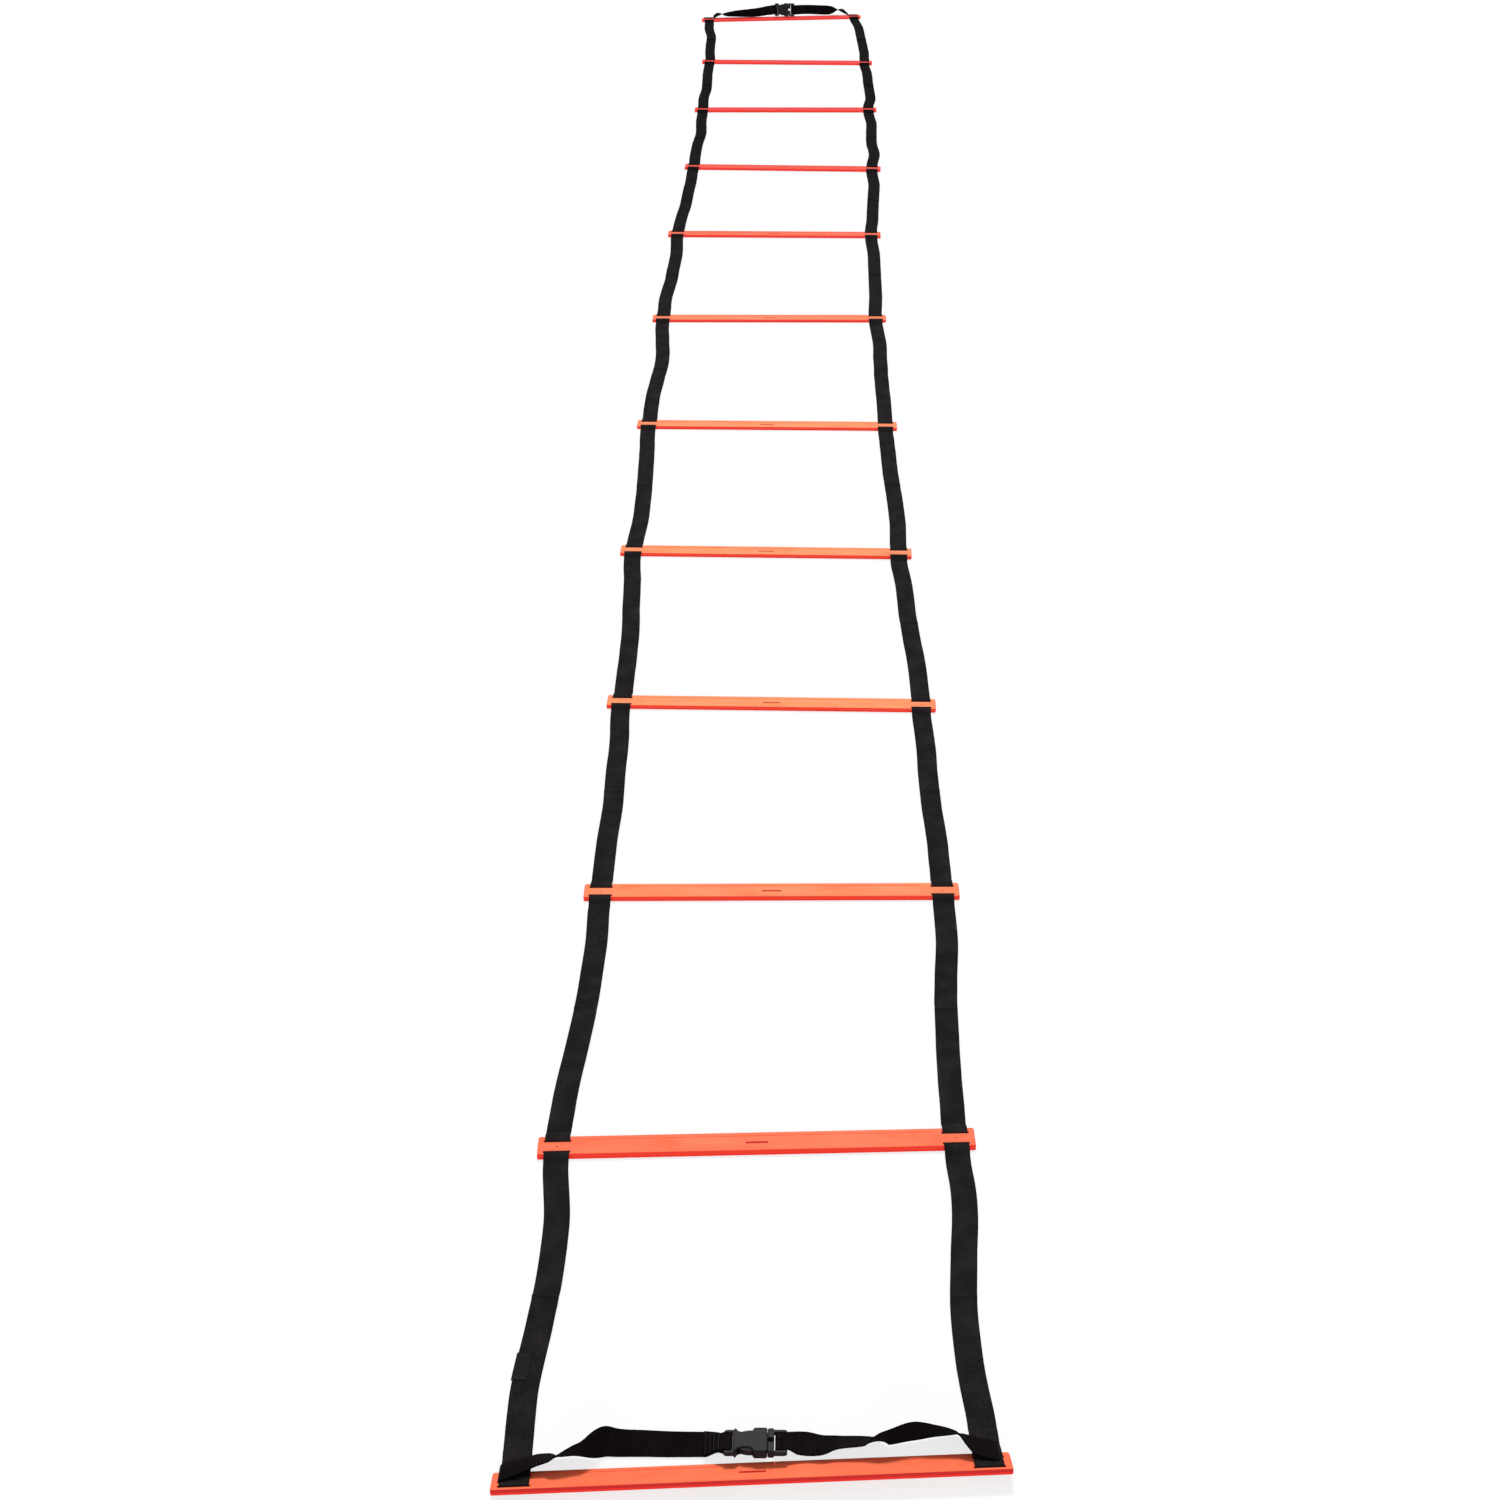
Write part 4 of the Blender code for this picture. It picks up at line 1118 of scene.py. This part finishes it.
def addFloor():
    reach = stageLook["reach"]
    corners = ((-reach, -reach), (reach, -reach), (reach, reach), (-reach, reach))
    mesh = bpy.data.meshes.new("floor")
    mesh.from_pydata([(x, y, stageLook["level"]) for x, y in corners], [], [(0, 1, 2, 3)])
    shader = newShader("floorPaper")
    pale, shown = (
        shader.node("ShaderNodeBsdfDiffuse", None, {"Color": (shade, shade, shade, 1)})
        for shade in (stageLook["pale"], stageLook["shown"])
    )
    # Where folded layers hang below the floor they show through it: the
    # camera's floor is clear and only loses the light that a shadow takes.
    clear = shader.node("ShaderNodeBsdfTransparent")
    lit = {"Color": (1, 1, 1, 1), "Strength": -stageLook["shown"] * stageLook["open"]}
    less = shader.node("ShaderNodeEmission", None, lit)
    shadow = shader.node("ShaderNodeAddShader", None, {0: shown, 1: less})
    seen = shader.node("ShaderNodeAddShader", None, {0: clear, 1: shadow})
    both = shader.node("ShaderNodeMixShader", None, {0: seenDirectly(shader), 1: pale, 2: seen})
    shader.node("ShaderNodeOutputMaterial", None, {"Surface": both})
    mesh.materials.append(shader.owner)
    floor = bpy.data.objects.new("floor", mesh)
    bpy.context.scene.collection.objects.link(floor)


def addWorld():
    world = bpy.data.worlds.new("studio")
    shader = Shader(world)
    fill, white = (
        shader.node("ShaderNodeBackground", None, {"Color": (1, 1, 1, 1), "Strength": strength})
        for strength in (stageLook["fill"], 1)
    )
    both = shader.node("ShaderNodeMixShader", None, {0: seenDirectly(shader), 1: fill, 2: white})
    shader.node("ShaderNodeOutputWorld", None, {"Surface": both})
    bpy.context.scene.world = world


def addLamps():
    # A key from behind the ladder, so that shadows fall towards the camera, and
    # a weaker lamp in front for the near walls.
    for name, (strength, spread, height, turn) in stageLook["lamps"].items():
        data = bpy.data.lights.new(name, "SUN")
        data.energy = strength
        data.angle = math.radians(spread)
        lamp = bpy.data.objects.new(name, data)
        lamp.rotation_euler = (math.radians(height - 90), 0, math.radians(turn))
        bpy.context.scene.collection.objects.link(lamp)


def addCamera():
    data = bpy.data.cameras.new("photoCamera")
    data.lens = cameraLook["lens"]
    data.sensor_width = cameraLook["sensor"]
    data.clip_end = cameraLook["sight"]
    data.shift_x = cameraLook["shift"]
    camera = bpy.data.objects.new("photoCamera", data)
    camera.location = cameraLook["place"]
    camera.rotation_euler = (math.radians(90 - cameraLook["down"]), 0, 0)
    bpy.context.scene.collection.objects.link(camera)
    bpy.context.scene.camera = camera


addFloor()
addWorld()
addLamps()
addCamera()
bpy.context.scene.view_settings.view_transform = "Standard"
print("stage set")
